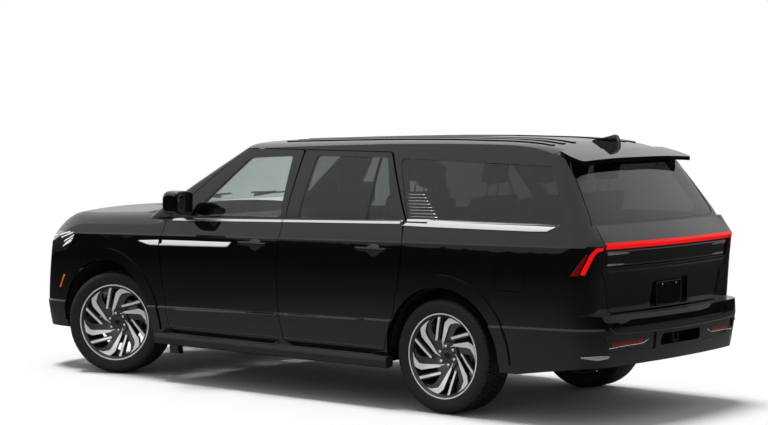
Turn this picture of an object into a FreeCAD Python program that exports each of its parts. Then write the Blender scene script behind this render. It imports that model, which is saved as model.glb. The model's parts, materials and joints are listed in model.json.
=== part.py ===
"""A long, tall estate-bodied four-wheel-drive car with four side doors and a tailgate.

The car stands on its wheels: +X is forward, +Y is its left side and +Z is up. The origin is on the
ground, under the middle of its length and width. All sizes are in millimetres.
"""

import FreeCAD
import Part
import math
import os

os.makedirs("parts", exist_ok=True)
V = FreeCAD.Vector

# Overall size
LENGTH = 5636.0
HALF_WIDTH = 1015.0
FRONT_OVERHANG = 950.0
WHEELBASE = 3343.0
TRACK = 1706.0
ROOF_HEIGHT = 1921.0

# Wheels
TYRE_RADIUS = 405.0
TYRE_WIDTH = 285.0
RIM_RADIUS = 300.0
RIM_SEAT_RADIUS = 280.0
BARREL_RADIUS = 262.0
RIM_WIDTH = 262.0
HUB_RADIUS = 96.0
SPOKE_PAIRS = 6
STEER_AT_REST = 20.0

# Body walls and gaps
DOOR_THICKNESS = 64.0
CABIN_WALL = 36.0
ROOF_THICKNESS = 34.0
GLASS_THICKNESS = 5.0
PANEL_GAP = 6.0
SEAL_GAP = 10.0
SEAT_CLEARANCE = 0.3
FRAME_DEPTH = 124.0
CABIN_FRAME_DEPTH = 78.0
GLASS_INSET = 4.0
FRONT_ARCH_RADIUS = 500.0
REAR_ARCH_RADIUS = 482.0
FLARE_WIDTH = 88.0
FLARE_DEPTH = 13.0
RIB_HEIGHT = 7.0

# Plan outline of the lower body
SILL_BOTTOM = 330.0
BODY_CAP = 1400.0
NOSE_SAG_RADIUS = 3270.0
TAIL_SAG_RADIUS = 5200.0
FRONT_CORNER = 280.0
REAR_CORNER = 250.0
CORNER_NARROWING = 30.0
TAPER_START_FRONT = 1300.0
TAPER_START_REAR = -1500.0

# Places worked out from the sizes above
FRONT_X = LENGTH / 2
REAR_X = -LENGTH / 2
FRONT_AXLE_X = FRONT_X - FRONT_OVERHANG
REAR_AXLE_X = FRONT_AXLE_X - WHEELBASE
WHEEL_Y = TRACK / 2

FAR = 1400.0


def save(name, *solids):
    """Writes one node; several solids that don't touch may share it."""
    shape = solids[0] if len(solids) == 1 else Part.makeCompound(list(solids))
    shape.exportStep(f"parts/{name}.step")
    count = len(shape.Solids)
    print(f"{name}: {count} solid(s), volume {shape.Volume / 1e6:.2f} l, valid {shape.isValid()}")


def mirrored(shape):
    return shape.mirror(V(0, 0, 0), V(0, 1, 0))


def both_sides(shape):
    return [shape, mirrored(shape)]


def only_solid(shape):
    """The largest solid of a result, so that slivers left by a cut are dropped."""
    return max(shape.Solids, key=lambda s: s.Volume)


def box(x0, x1, y0, y1, z0, z1):
    return Part.makeBox(x1 - x0, y1 - y0, z1 - z0, V(x0, y0, z0))


def cylinder_y(x, z, radius, y0, y1):
    return Part.makeCylinder(radius, y1 - y0, V(x, y0, z), V(0, 1, 0))


def tube_between(a, b, radius):
    return Part.makeCylinder(radius, (b - a).Length, a, b - a)


def rounded_wire(points, radii, plane):
    """A closed outline with rounded corners. points are pairs, and plane(u, v) makes them vectors."""
    count = len(points)
    if not isinstance(radii, (list, tuple)):
        radii = [radii] * count
    edges = []
    starts, ends, middles = [], [], []
    for i, (u, v) in enumerate(points):
        before, after = points[i - 1], points[(i + 1) % count]
        a = V(before[0] - u, before[1] - v, 0).normalize()
        b = V(after[0] - u, after[1] - v, 0).normalize()
        corner = V(u, v, 0)
        radius = radii[i]
        half = math.acos(max(-1, min(1, a * b))) / 2
        if radius <= 0 or half > math.radians(89):
            starts.append(corner)
            ends.append(corner)
            middles.append(None)
            continue
        reach = radius / math.tan(half)
        centre = corner + (a + b).normalize() * (radius / math.sin(half))
        starts.append(corner + a * reach)
        ends.append(corner + b * reach)
        middles.append(centre + (corner - centre).normalize() * radius)
    for i in range(count):
        if middles[i] is not None:
            arc = [plane(p.x, p.y) for p in (starts[i], middles[i], ends[i])]
            edges.append(Part.Arc(*arc).toShape())
        a, b = ends[i], starts[(i + 1) % count]
        if (b - a).Length > 1e-6:
            edges.append(Part.makeLine(plane(a.x, a.y), plane(b.x, b.y)))
    return Part.Wire(edges)


def side_prism(points, radii=0, y0=0.0, y1=FAR, grow=0.0):
    """A prism through the car's side from an outline drawn in side view."""
    wire = rounded_wire(points, radii, lambda u, v: V(u, y0, v))
    if grow:
        wire = wire.makeOffset2D(grow)
    return Part.Face(wire).extrude(V(0, y1 - y0, 0))


def rear_prism(points, radii=0, x0=-3000.0, x1=-2200.0, grow=0.0):
    """A prism along the car from an outline drawn in rear view, as pairs of y and z."""
    wire = rounded_wire(points, radii, lambda u, v: V(x0, u, v))
    if grow:
        wire = wire.makeOffset2D(grow)
    return Part.Face(wire).extrude(V(x1 - x0, 0, 0))


def plan_prism(points, radii=0, z0=0.0, z1=2200.0, grow=0.0):
    """A prism standing up from an outline drawn in plan, as pairs of x and y."""
    wire = rounded_wire(points, radii, lambda u, v: V(u, v, z0))
    if grow:
        wire = wire.makeOffset2D(grow)
    return Part.Face(wire).extrude(V(0, 0, z1 - z0))


def knots_for(count, degree):
    inner = count - degree + 1
    mults = [degree + 1] + [1] * (inner - 2) + [degree + 1]
    return list(range(inner)), mults


def smooth_face(rows, row_degree, column_degree=3):
    """A B-spline face with these rows of poles; neighbours with the same end row meet exactly."""
    u_knots, u_mults = knots_for(len(rows), row_degree)
    v_knots, v_mults = knots_for(len(rows[0]), column_degree)
    surface = Part.BSplineSurface()
    surface.buildFromPolesMultsKnots(
        rows, u_mults, v_mults, u_knots, v_knots, False, False, row_degree, column_degree
    )
    return surface.toShape()


def closed_solid(faces):
    shell = Part.makeShell(faces)
    shell.sewShape()
    solid = Part.makeSolid(shell)
    if solid.Volume < 0:
        solid.reverse()
    return solid


def mix(a, b, t):
    return a + (b - a) * t


def ramp(x, x0, x1):
    t = max(0.0, min(1.0, (x - x0) / (x1 - x0)))
    return t * t * (3 - 2 * t)


def along(points, x):
    """Straight-line interpolation through pairs listed by falling or rising first value."""
    points = sorted(points)
    if x <= points[0][0]:
        return points[0][1]
    for (x0, v0), (x1, v1) in zip(points, points[1:]):
        if x <= x1:
            return mix(v0, v1, (x - x0) / (x1 - x0))
    return points[-1][1]


# The lines that run along the body's side, as heights over x


def low_line(x):
    """The crease near the foot of the doors."""
    return 593.0 - 0.0244 * x


def shoulder_line(x):
    """The crease just under the door handles."""
    return 1152.8 - 0.0245 * x - 1.2e-6 * x * x


def belt_line(x):
    """The foot of the side windows, and forward of them the bonnet's shoulder."""
    return 1297.0 - 0.0303 * x - 3.7e-6 * x * x


def half_width(x):
    """Half the body's width at its widest level."""
    if x > TAPER_START_FRONT:
        t = (x - TAPER_START_FRONT) / (FRONT_X - FRONT_CORNER - TAPER_START_FRONT)
        return HALF_WIDTH - CORNER_NARROWING * min(t, 1.1) ** 2
    if x < TAPER_START_REAR:
        t = (TAPER_START_REAR - x) / (TAPER_START_REAR - REAR_X - REAR_CORNER)
        return HALF_WIDTH - CORNER_NARROWING * min(t, 1.1) ** 2
    return HALF_WIDTH


def lower_stations():
    """Points round the left half of the plan, front to rear, each with the angle it faces."""
    side_y = HALF_WIDTH - CORNER_NARROWING
    sag = (side_y - FRONT_CORNER) ** 2 / (2 * NOSE_SAG_RADIUS)
    front = V(FRONT_X - sag - FRONT_CORNER, side_y - FRONT_CORNER, 0)
    sag = (side_y - REAR_CORNER) ** 2 / (2 * TAIL_SAG_RADIUS)
    rear = V(REAR_X + sag + REAR_CORNER, side_y - REAR_CORNER, 0)
    found = []
    for y in (0.0, 130.0, 330.0, 520.0):
        found.append((FRONT_X - y * y / (2 * NOSE_SAG_RADIUS), y, math.asin(y / NOSE_SAG_RADIUS)))
    for degrees in (13, 32, 51, 70, 90):
        a = math.radians(degrees)
        x, y = front.x + FRONT_CORNER * math.cos(a), front.y + FRONT_CORNER * math.sin(a)
        found.append((x, y, a))
    steps = 24
    for i in range(1, steps):
        x = mix(front.x, rear.x, i / steps)
        found.append((x, half_width(x), math.pi / 2))
    for degrees in (90, 110, 129, 148, 167):
        a = math.radians(degrees)
        x, y = rear.x + REAR_CORNER * math.cos(a), rear.y + REAR_CORNER * math.sin(a)
        found.append((x, y, a))
    for y in (520.0, 330.0, 130.0, 0.0):
        found.append((REAR_X + y * y / (2 * TAIL_SAG_RADIUS), y, math.pi - math.asin(y / TAIL_SAG_RADIUS)))
    return found


def lower_rows(x, bumper):
    """The levels of the lower body as (height, inset at the side, at the nose, at the tail).

    The tail is the tailgate's face, or with bumper the rear bumper's, which stands out behind it.
    """
    low, shoulder, belt = low_line(x), shoulder_line(x), belt_line(x)
    ledge = low + 14
    step = shoulder + 10
    tails = [120, 125, 128, 128, 122, 112, 88, 58, 40, 84, 168, 205]
    if bumper:
        tails = [64, 34, 2, 0, 8, 40, 60, 60, 60, 84, 168, 205]
    return [
        [(SILL_BOTTOM, 45, 20, tails[0]), (440.0, 22, 0, tails[1]), (low, 4, 0, tails[2])],
        [(low, 4, 0, tails[2]), (ledge, 14, 2, tails[3])],
        [
            (ledge, 14, 2, tails[3]),
            (mix(ledge, shoulder, 0.22), 7, 12, tails[4]),
            (mix(ledge, shoulder, 0.48), -1, 46, tails[5]),
            (mix(ledge, shoulder, 0.76), -2, 96, tails[6]),
            (shoulder, 4, 150, tails[7]),
        ],
        [(shoulder, 4, 150, tails[7]), (step, 12, 155, tails[8])],
        [
            (step, 12, 155, tails[8]),
            (mix(step, belt, 0.45), 30, 188, tails[9]),
            (belt, 66, 215, tails[10]),
            (BODY_CAP, 100, 290, tails[11]),
        ],
    ]


def lower_body(inset=0.0, foot=SILL_BOTTOM, bumper=False):
    """The lower body filled solid, up to a flat cap above the belt, moved in all round by inset."""
    stations = lower_stations()
    columns = [lower_rows(x, bumper) for x, _, _ in stations]
    faces = []
    for strip in range(len(columns[0])):
        rows = []
        for level in range(len(columns[0][strip])):
            row = []
            for (x, y, angle), column in zip(stations, columns):
                z, side, nose, tail = column[strip][level]
                if strip == 0 and level == 0:
                    z = foot
                nx, ny = math.cos(angle), math.sin(angle)
                end = nose if nx > 0 else tail
                into = side * ny * ny + end * nx * nx + inset
                row.append(V(x - nx * into, y - ny * into, z))
            row[0].y = row[-1].y = 0.0
            row[1].x = row[0].x
            row[-2].x = row[-1].x
            rows.append(row)
        for side in (1, -1):
            poles = [[V(p.x, p.y * side, p.z) for p in row] for row in rows]
            faces.append(smooth_face(poles, min(3, len(poles) - 1)))
    return cap_ends(faces)


def cap_ends(faces):
    """Closes a ring of faces with a flat face at its foot and one at its top."""
    edges = {}
    for face in faces:
        for edge in face.Edges:
            low = min(v.Point.z for v in edge.Vertexes)
            high = max(v.Point.z for v in edge.Vertexes)
            if high - low < 1e-6:
                edges.setdefault(round(low, 4), []).append(edge)
    flat = []
    for level in (min(edges), max(edges)):
        flat.append(Part.Face(Part.Wire(Part.__sortEdges__(edges[level]))))
    return closed_solid(faces + flat)


# The cabin above the belt

SCREEN_SAG_RADIUS = 3500.0
CABIN_FRONT_CORNER = 95.0
CABIN_REAR_CORNER = 120.0
CABIN_LEVELS = (1150.0, 1250.0, 1330.0, 1450.0, 1600.0, 1750.0, 1850.0, 1980.0)


def screen_x(z):
    """The windscreen's centre line."""
    return 1532.0 - 1.57 * (z - 1290.0)


def tail_x(z):
    """The back window's centre line."""
    line = [(1150, -2640), (1250, -2672), (1330, -2668), (1450, -2592), (1600, -2492), (1980, -2245)]
    return along(line, z)


def cabin_y(z):
    """The side glass's half width."""
    if z < 1290:
        return mix(930.0, 946.0, max(0.0, (z - 1150) / 140))
    return 950.0 - 0.40 * (z - 1290) - 0.00018 * (z - 1290) ** 2


def cabin_body(inset=0.0):
    """The cabin filled solid, from inside the lower body up past the roof."""
    rows = []
    for z in CABIN_LEVELS:
        side_y = cabin_y(z) - inset
        front_r = CABIN_FRONT_CORNER - inset * 0.6
        rear_r = CABIN_REAR_CORNER - inset * 0.6
        row = []
        nose_y = side_y - front_r
        for share in (0.0, 0.25, 0.5, 0.75):
            y = nose_y * share
            row.append(V(screen_x(z) - inset * 1.3 - y * y / (2 * SCREEN_SAG_RADIUS), y, z))
        centre = V(screen_x(z) - inset * 1.3 - nose_y**2 / (2 * SCREEN_SAG_RADIUS) - front_r, nose_y, z)
        for degrees in (13, 38, 64, 90):
            a = math.radians(degrees)
            row.append(centre + V(math.cos(a), math.sin(a), 0) * front_r)
        tail_y = side_y - rear_r - 18.0
        back = V(tail_x(z) + inset + tail_y**2 / (2 * TAIL_SAG_RADIUS) + rear_r, tail_y, z)
        steps = 14
        for i in range(1, steps):
            x = mix(centre.x, back.x, i / steps)
            narrowing = 18.0 * ramp(x, back.x + 1200, back.x)
            row.append(V(x, side_y - narrowing, z))
        for degrees in (90, 116, 142, 167):
            a = math.radians(degrees)
            row.append(back + V(math.cos(a), math.sin(a), 0) * rear_r)
        for share in (0.75, 0.5, 0.25, 0.0):
            y = tail_y * share
            row.append(V(tail_x(z) + inset + y * y / (2 * TAIL_SAG_RADIUS), y, z))
        row[1].x = row[0].x
        row[-2].x = row[-1].x
        rows.append(row)
    faces = []
    for side in (1, -1):
        poles = [[V(p.x, p.y * side, p.z) for p in row] for row in rows]
        faces.append(smooth_face(poles, 3))
    return cap_ends(faces)


# Surfaces that close the bonnet and the roof from above

ROOF_LINE = [
    (1000, 1800), (750, 1846), (620, 1858), (520, 1863), (200, 1876), (-300, 1893), (-780, 1907),
    (-1243, ROOF_HEIGHT - RIB_HEIGHT), (-1774, 1912), (-1950, 1904), (-2074, 1892), (-2184, 1866),
    (-2284, 1843), (-2455, 1790), (-2700, 1700),
]


def over_bonnet(x, y):
    belt = belt_line(x)
    nose_x = FRONT_X - 205 - y * y / (2 * NOSE_SAG_RADIUS)
    a = max(0.0, 1 - (nose_x - x) / 260)
    b = max(0.0, 1 - (half_width(x) - 68 - abs(y)) / 95)
    drop = min(2.0, math.hypot(a, b)) ** 2.2
    height = 40 + 34 * ramp(x, 2150, 2600)
    crown = mix(58, 22, ramp(x, 1500, 2650)) * (1 - (y / 860) ** 2)
    lift = height * (1 - drop) + max(crown, 0)
    return belt + lift * ramp(x, 1130, 1330)


def over_roof(x, y):
    edge = max(0.0, 1 - (690 - abs(y)) / 90)
    return along(ROOF_LINE, x) - 30 * (y / 680) ** 2 - 24 * min(edge, 1.6) ** 2.2


def under_surface(height, x0, x1, half_y, step, lower=0.0):
    """Everything under a height field, as a solid."""
    nx, ny = round((x1 - x0) / step), round(2 * half_y / step)
    rows = []
    for i in range(nx + 1):
        x = mix(x0, x1, i / nx)
        row = []
        for j in range(ny + 1):
            y = mix(-half_y, half_y, j / ny)
            row.append(V(x, y, height(x, y) - lower))
        rows.append(row)
    return smooth_face(rows, 3).extrude(V(0, 0, -1900))


def under_bonnet(lower, lowered=0.0):
    return lower.common(under_surface(over_bonnet, -3000, 3000, 1150, 100, lowered))


def under_roof(cabin, lowered=0.0):
    return cabin.common(under_surface(over_roof, -2900, 1900, 1100, 100, lowered))


def body_from(lower, cabin, lowered=0.0):
    """The whole body filled solid: the lower part under the bonnet and the cabin under the roof."""
    return under_bonnet(lower, lowered).fuse(under_roof(cabin, lowered))


def arch_ring(x, radius, depth):
    """The raised lip round a wheel arch, down to the sill."""
    ring = cylinder_y(x, TYRE_RADIUS, radius + FLARE_WIDTH, 500, FAR)
    ring = ring.cut(box(x - 700, x + 700, 400, FAR, 0, 388))
    return depth.common(ring)


FRONT_ARCH = cylinder_y(FRONT_AXLE_X, TYRE_RADIUS, FRONT_ARCH_RADIUS, 455, FAR)
REAR_ARCH = cylinder_y(REAR_AXLE_X, TYRE_RADIUS, REAR_ARCH_RADIUS, 655, FAR)

def within(solid, x0, x1, y0=-FAR, y1=FAR, z0=0.0, z1=2300.0):
    return solid.common(box(x0, x1, y0, y1, z0, z1))


# The filled body and the ones inside it
LOWER = under_bonnet(lower_body())
CABIN = under_roof(cabin_body())
OUTER = LOWER.fuse(CABIN)
INNER = body_from(lower_body(DOOR_THICKNESS, 200.0), cabin_body(CABIN_WALL), ROOF_THICKNESS)
SEALED = body_from(
    lower_body(DOOR_THICKNESS + PANEL_GAP, 200.0), cabin_body(CABIN_WALL + PANEL_GAP), ROOF_THICKNESS
)
SEALED = within(SEALED, -1400, 1700, 300)
FRAMED = body_from(lower_body(FRAME_DEPTH, 200.0), cabin_body(CABIN_FRAME_DEPTH), 60.0)
FRAMED_LEFT = within(FRAMED, -2900, 1700, 0)
PROUD = lower_body(-FLARE_DEPTH)
FLARES = [arch_ring(FRONT_AXLE_X, FRONT_ARCH_RADIUS, PROUD), arch_ring(REAR_AXLE_X, REAR_ARCH_RADIUS, PROUD)]
LEFT_OUTER = within(OUTER, -3000, 3000, 0).fuse(FLARES).cut([FRONT_ARCH, REAR_ARCH])
LEFT_SKIN = LEFT_OUTER.cut(INNER)
SKIN = OUTER.cut(INNER)
FRONT_SKIN = within(LOWER, 900, 3000).cut(INNER).cut(CABIN)
GLASS_LAYER = cabin_body(GLASS_INSET).cut(cabin_body(GLASS_INSET + GLASS_THICKNESS))

# Shut lines and window outlines in side view, as pairs of x and z
B_TOP, B_BELT, B_WAIST, B_MIDDLE, B_LOW, B_FOOT = 33, 25, 32, 51, 44, 0
DOOR_TOP = 1798.0
FRONT_DOOR = [
    (1223, 1262), (1120, 1352), (628, 1790), (570, DOOR_TOP), (B_TOP + 3, DOOR_TOP), (B_BELT + 3, 1300),
    (B_WAIST + 3, 1152), (B_MIDDLE + 3, 924), (B_LOW + 3, 673), (B_FOOT + 3, 404), (1180, 392), (1264, 1012),
]
FRONT_DOOR_RADII = [12, 60, 60, 30, 20, 0, 60, 60, 60, 40, 60, 120]
REAR_DOOR = [
    (B_TOP - 3, DOOR_TOP), (-800, DOOR_TOP), (-1098, 1345), (-1126, 1179), (-1119, 1037), (-1060, 700),
    (-960, 408), (B_FOOT - 3, 404), (B_LOW - 3, 673), (B_MIDDLE - 3, 924), (B_WAIST - 3, 1152), (B_BELT - 3, 1300),
]
REAR_DOOR_RADII = [20, 40, 60, 60, 60, 60, 20, 40, 60, 60, 60, 0]
FRONT_WINDOW = [(975, 1283), (553, 1728), (136, 1751), (78, 1310)]
FRONT_WINDOW_RADII = [25, 60, 24, 24]
REAR_WINDOW = [(-96, 1757), (-772, 1762), (-985, 1330), (-96, 1312)]
REAR_WINDOW_RADII = [24, 40, 60, 24]
QUARTER_WINDOW = [(-892, 1760), (-2213, 1733), (-2440, 1368), (-1112, 1348)]
QUARTER_WINDOW_RADII = [30, 40, 50, 40]
BUMPER_TOP = 757.0
BUMPER_SEAM = [(-1790, 200), (-1808, 776), (-2286, 808), (-2452, 985), (-2520, 1004), (-3000, 1030), (-3000, 200)]
TAILGATE = [
    (-700, 764), (700, 764), (752, 980), (806, 1050), (812, 1262), (792, 1366), (690, 1714), (662, 1762),
    (662, 2100), (-662, 2100), (-662, 1762), (-690, 1714), (-792, 1366), (-812, 1262), (-806, 1050), (-752, 980),
]
TAILGATE_RADII = [60, 60, 30, 30, 40, 60, 60, 40, 0, 0, 40, 60, 60, 40, 30, 30]
TAIL_WINDOW = [(-776, 1366), (776, 1366), (694, 1700), (640, 1738), (-640, 1738), (-694, 1700)]
TAIL_WINDOW_RADII = [40, 40, 60, 40, 40, 60]
WINDSCREEN = [(-770, 1352), (770, 1352), (592, 1800), (520, 1832), (-520, 1832), (-592, 1800)]
WINDSCREEN_RADII = [50, 50, 60, 40, 40, 60]
ROOF_FRONT_X, ROOF_REAR_X, ROOF_HALF = 760.0, -2184.0, 668.0
BONNET_REAR_X, BONNET_FRONT_Z = 1552.0, 1108.0


def pane(outline, radii, prism, **span):
    """A pane that sits in its opening, short of it by the seat's clearance."""
    return only_solid(GLASS_LAYER.common(prism(outline, radii, grow=-SEAT_CLEARANCE, **span)))


def side_door(outline, radii, window, window_radii, rear_top):
    """A side door, with its frame's rear edge drawn forward so that it swings clear of the pillar."""
    trimmed = [(x + (SEAL_GAP if i in rear_top else 0), z) for i, (x, z) in enumerate(outline)]
    panel = LEFT_SKIN.common(side_prism(trimmed, radii, y0=300))
    panel = panel.cut(side_prism(window, window_radii, y0=300))
    return only_solid(panel)


def strap_handle(x0, x1, z, y):
    """A pull handle, a bar on two feet that stands off the door's skin."""
    bar = Part.makeBox(x1 - x0, 19, 27, V(x0, y + 30, z - 13.5))
    bar = bar.makeFillet(8, [e for e in bar.Edges if e.Length > 100])
    feet = [box(x0 + 8, x0 + 46, y - 20, y + 36, z - 10, z + 10), box(x1 - 46, x1 - 8, y - 20, y + 36, z - 10, z + 10)]
    return bar.fuse(feet)


def door_mirror():
    """The door mirror: a lofted housing with its glass set in, on an arm from the door."""
    sections = []
    for y, x0, x1, z0, z1 in (
        (990, 925, 1040, 1318, 1442), (1010, 908, 1062, 1304, 1464), (1090, 903, 1076, 1298, 1478),
        (1165, 908, 1066, 1304, 1470), (1195, 928, 1040, 1326, 1446),
    ):
        corners = [(x0, z0), (x1, z0), (x1, z1), (x0, z1)]
        sections.append(rounded_wire(corners, [14, 40, 46, 14], lambda u, v: V(u, y, v)))
    housing = Part.makeLoft(sections, True, False)
    glass = box(880, 916, 1022, 1168, 1322, 1452)
    arm = side_prism([(1085, 1286), (985, 1292), (985, 1326), (1060, 1330)], 8, 925, 1040)
    return housing.cut(glass).fuse(arm)


def front_door():
    door = side_door(FRONT_DOOR, FRONT_DOOR_RADII, FRONT_WINDOW, FRONT_WINDOW_RADII, (4,))
    door = door.fuse([strap_handle(118, 402, 1106, 1008), door_mirror()])
    return only_solid(door)


def rear_door():
    door = side_door(REAR_DOOR, REAR_DOOR_RADII, REAR_WINDOW, REAR_WINDOW_RADII, (1, 2))
    return only_solid(door.fuse(strap_handle(-1020, -738, 1122, 1008)))


def door_opening(outline, radii):
    """The pocket that a door lies in, and the way through behind it."""
    pocket = side_prism(outline, radii, y0=300, grow=PANEL_GAP).cut(SEALED)
    return pocket.fuse(side_prism(outline, radii, y0=300, grow=-34.0))


def body_side():
    """One side of the body: pillars, sill, roof rail and quarter panel, as one frame."""
    side = within(LEFT_OUTER, -2900, FENDER_REAR_X, 300).cut(FRAMED_LEFT)
    hinge_pillar = within(SEALED, FENDER_REAR_X - 1, 1262, 300, FAR, 0, 1262).cut(FRAMED_LEFT)
    pillar_foot = within(CABIN, FENDER_REAR_X, 1700, 690, FAR, 1150).cut(FRAMED_LEFT)
    side = side.fuse([hinge_pillar, pillar_foot])
    side = side.cut([door_opening(FRONT_DOOR, FRONT_DOOR_RADII), door_opening(REAR_DOOR, REAR_DOOR_RADII)])
    side = side.cut(
        [
            side_prism(QUARTER_WINDOW, QUARTER_WINDOW_RADII, y0=300),
            roof_region(SEAT_CLEARANCE),
            rear_prism(WINDSCREEN, WINDSCREEN_RADII, 300, 2000),
            rear_prism(TAILGATE, TAILGATE_RADII, -3000, ROOF_REAR_X, grow=PANEL_GAP),
            side_prism(BUMPER_SEAM, 0, y0=300, grow=SEAT_CLEARANCE),
            side_prism(TAIL_LAMP, 0, y0=300, grow=SEAT_CLEARANCE),
            FUEL_FLAP_POCKET,
            SPOILER_ROOM,
        ]
    )
    return only_solid(side)


FENDER_REAR_X = 1172.0


def roof_region(grow=0.0):
    """The roof panel in plan; its rear edge bows backwards."""
    half = ROOF_HALF
    plan = [(ROOF_FRONT_X, half), (ROOF_REAR_X, half), (ROOF_REAR_X - 140, 0), (ROOF_REAR_X, -half), (ROOF_FRONT_X, -half)]
    return plan_prism(plan, [0, 0, 2000, 0, 0], DOOR_TOP + PANEL_GAP + 2 - grow, 2300, grow)


TAIL_LAMP = [(-2488, 1012), (-2560, 1005), (-3000, 1040), (-3000, 1262), (-2668, 1262), (-2600, 1180)]
FLAP_X0, FLAP_X1, FLAP_Z0, FLAP_Z1 = -2174.0, -1944.0, 895.0, 1083.0
FLAP_DEPTH = 14.0
FLAP_OUTLINE = [(FLAP_X0, FLAP_Z0), (FLAP_X1, FLAP_Z0), (FLAP_X1, FLAP_Z1), (FLAP_X0, FLAP_Z1)]
FLAP_LAYER = lower_body(FLAP_DEPTH)
FUEL_FLAP_POCKET = side_prism(FLAP_OUTLINE, 30, y0=930, grow=3.0)


SPOILER_THICKNESS = 28.0
SPOILER = [
    (-2222, 650), (-2330, 698), (-2442, 702), (-2462, 0), (-2442, -702), (-2330, -698), (-2222, -650), (-2276, 0),
]
SPOILER_RADII = [10, 80, 40, 3000, 40, 80, 10, 1500]


def over_spoiler(x, y):
    return along(ROOF_LINE, x) + 3 - 22 * (y / 680) ** 2


def under_spoiler(lower):
    return under_surface(over_spoiler, -2800, -2000, 1000, 100, lower)


SPOILER_ROOM = plan_prism(SPOILER, SPOILER_RADII, 1650, 2000, PANEL_GAP).cut(
    under_spoiler(SPOILER_THICKNESS + PANEL_GAP)
)


def spoiler():
    """The blade that carries the roof's line on behind the back window."""
    blade = plan_prism(SPOILER, SPOILER_RADII, 1650, 2000).common(under_spoiler(0))
    return blade.cut(under_spoiler(SPOILER_THICKNESS)).cut(roof_region(PANEL_GAP))


def fuel_flap():
    return only_solid(LEFT_OUTER.common(side_prism(FLAP_OUTLINE, 30, y0=300)).cut(FLAP_LAYER))


def tail_lamp():
    lamp = LEFT_SKIN.common(side_prism(TAIL_LAMP, 0, y0=300))
    return only_solid(lamp.cut(rear_prism(TAILGATE, TAILGATE_RADII, -3000, -2100, grow=PANEL_GAP)))


# The roof

def roof_panel():
    """The roof with its raised ribs and the windscreen's header, and the aerial's fin."""
    roof = SKIN.common(roof_region())
    roof = roof.cut(rear_prism(WINDSCREEN, WINDSCREEN_RADII, 300, 2000))
    ribs = under_surface(over_roof, -2200, 500, 600, 100, -RIB_HEIGHT)
    ribs = ribs.cut(under_surface(over_roof, -2900, 1900, 1100, 100, ROOF_THICKNESS / 2))
    for y in (-512, -384, -256, 256, 384, 512):
        rib = plan_prism([(380, y - 24), (-2080, y - 24), (-2080, y + 24), (380, y + 24)], 23, 1700)
        roof = roof.fuse(ribs.common(rib))
    fin = side_prism(
        [(-2062, 1880), (-2062, 1897), (-2150, 1915), (-2246, 1940), (-2258, 1932), (-2274, 1895), (-2276, 1825)],
        [0, 8, 60, 6, 6, 20, 0], -22, 22,
    )
    sides = rear_prism([(-36, 1820), (36, 1820), (26, 1900), (7, 1960), (-7, 1960), (-26, 1900)], 4, -2400, -2000)
    return only_solid(roof), fin.common(sides)


# Front end

def bonnet_region(grow=0.0, foot=BONNET_FRONT_Z):
    plan = [(BONNET_REAR_X, -846), (2150, -838), (2900, -760), (2900, 760), (2150, 838), (BONNET_REAR_X, 846)]
    return plan_prism(plan, [10, 200, 0, 0, 200, 10], foot, grow=grow)


GRILLE = [(-640, 640), (640, 640), (660, 760), (640, 1075), (-640, 1075), (-660, 760)]
GRILLE_RADII = [50, 60, 40, 40, 60, 50]
HEADLAMP = [(2240, 1100), (2330, 952), (2650, 900), (3000, 900), (3000, 1100)]


def headlamp():
    return only_solid(FRONT_SKIN.common(lamp_region()))


def front_bumper_region(grow=0.0):
    points = [(2325, 200), (2345, 830), (2355, 940), (2355, 1100), (3000, 1100), (3000, 200)]
    return side_prism(points, 0, y0=-FAR, y1=FAR, grow=grow)


def lamp_region(grow=0.0):
    lamp = side_prism(HEADLAMP, 0, y0=300, grow=grow)
    return within(lamp, 2000, 3000, 672 - grow)


def front_bumper():
    flare = within(FLARES[0], 2280, 3000)
    skin = within(LOWER, 2280, 3000).fuse([flare, mirrored(flare)])
    skin = skin.common(front_bumper_region()).cut([within(INNER, 2200, 3000), FRONT_ARCH, mirrored(FRONT_ARCH)])
    lamp = lamp_region(SEAT_CLEARANCE)
    grille_hole = rear_prism(GRILLE, GRILLE_RADII, 2000, 3000, grow=SEAT_CLEARANCE)
    intake = rear_prism([(-560, 372), (560, 372), (640, 470), (600, 540), (-600, 540), (-640, 470)], 24, 2300, 3000)
    intake = intake.cut(within(lower_body(34), 2200, 3000))
    return only_solid(skin.cut([lamp, mirrored(lamp), grille_hole, intake]))


def front_fender():
    skin = within(LEFT_OUTER, FENDER_REAR_X + SEAT_CLEARANCE, 2700, 300).cut([within(INNER, 1100, 2800), CABIN])
    skin = skin.cut(
        [
            side_prism(FRONT_DOOR, FRONT_DOOR_RADII, y0=300, grow=PANEL_GAP),
            front_bumper_region(SEAT_CLEARANCE),
            side_prism(HEADLAMP, 0, y0=300, grow=SEAT_CLEARANCE),
            bonnet_region(PANEL_GAP, 1000),
            box(1100, BONNET_REAR_X + 1, 0, 846 + PANEL_GAP, 0, 2300),
        ]
    )
    return only_solid(skin)


def grille():
    """The grille's surround with its level bars and a mesh of uprights behind them."""
    skin = FRONT_SKIN.common(rear_prism(GRILLE, GRILLE_RADII, 2000, 3000))
    hole = rear_prism(GRILLE, GRILLE_RADII, 2000, 3000, grow=-34)
    frame = skin.cut(hole)
    bars = []
    for z in (735, 810, 885, 960, 1010):
        bars.append(box(2000, 3000, -700, 700, z - 12, z + 12))
    for y in range(-560, 561, 80):
        bars.append(box(2000, 3000, y - 6, y + 6, 600, 1100))
    layer = within(lower_body(20), 2400, 3000).cut(within(lower_body(48), 2300, 3000))
    inner_bars = layer.common(Part.makeCompound(bars)).common(rear_prism(GRILLE, GRILLE_RADII, 2300, 3000, grow=-30))
    return only_solid(frame.fuse(inner_bars))


def bonnet():
    skin = FRONT_SKIN.common(bonnet_region())
    return only_solid(skin)


def cowl():
    skin = FRONT_SKIN.common(box(1180, BONNET_REAR_X - 12, -846, 846, 1150, 1500))
    return only_solid(skin)


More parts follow.
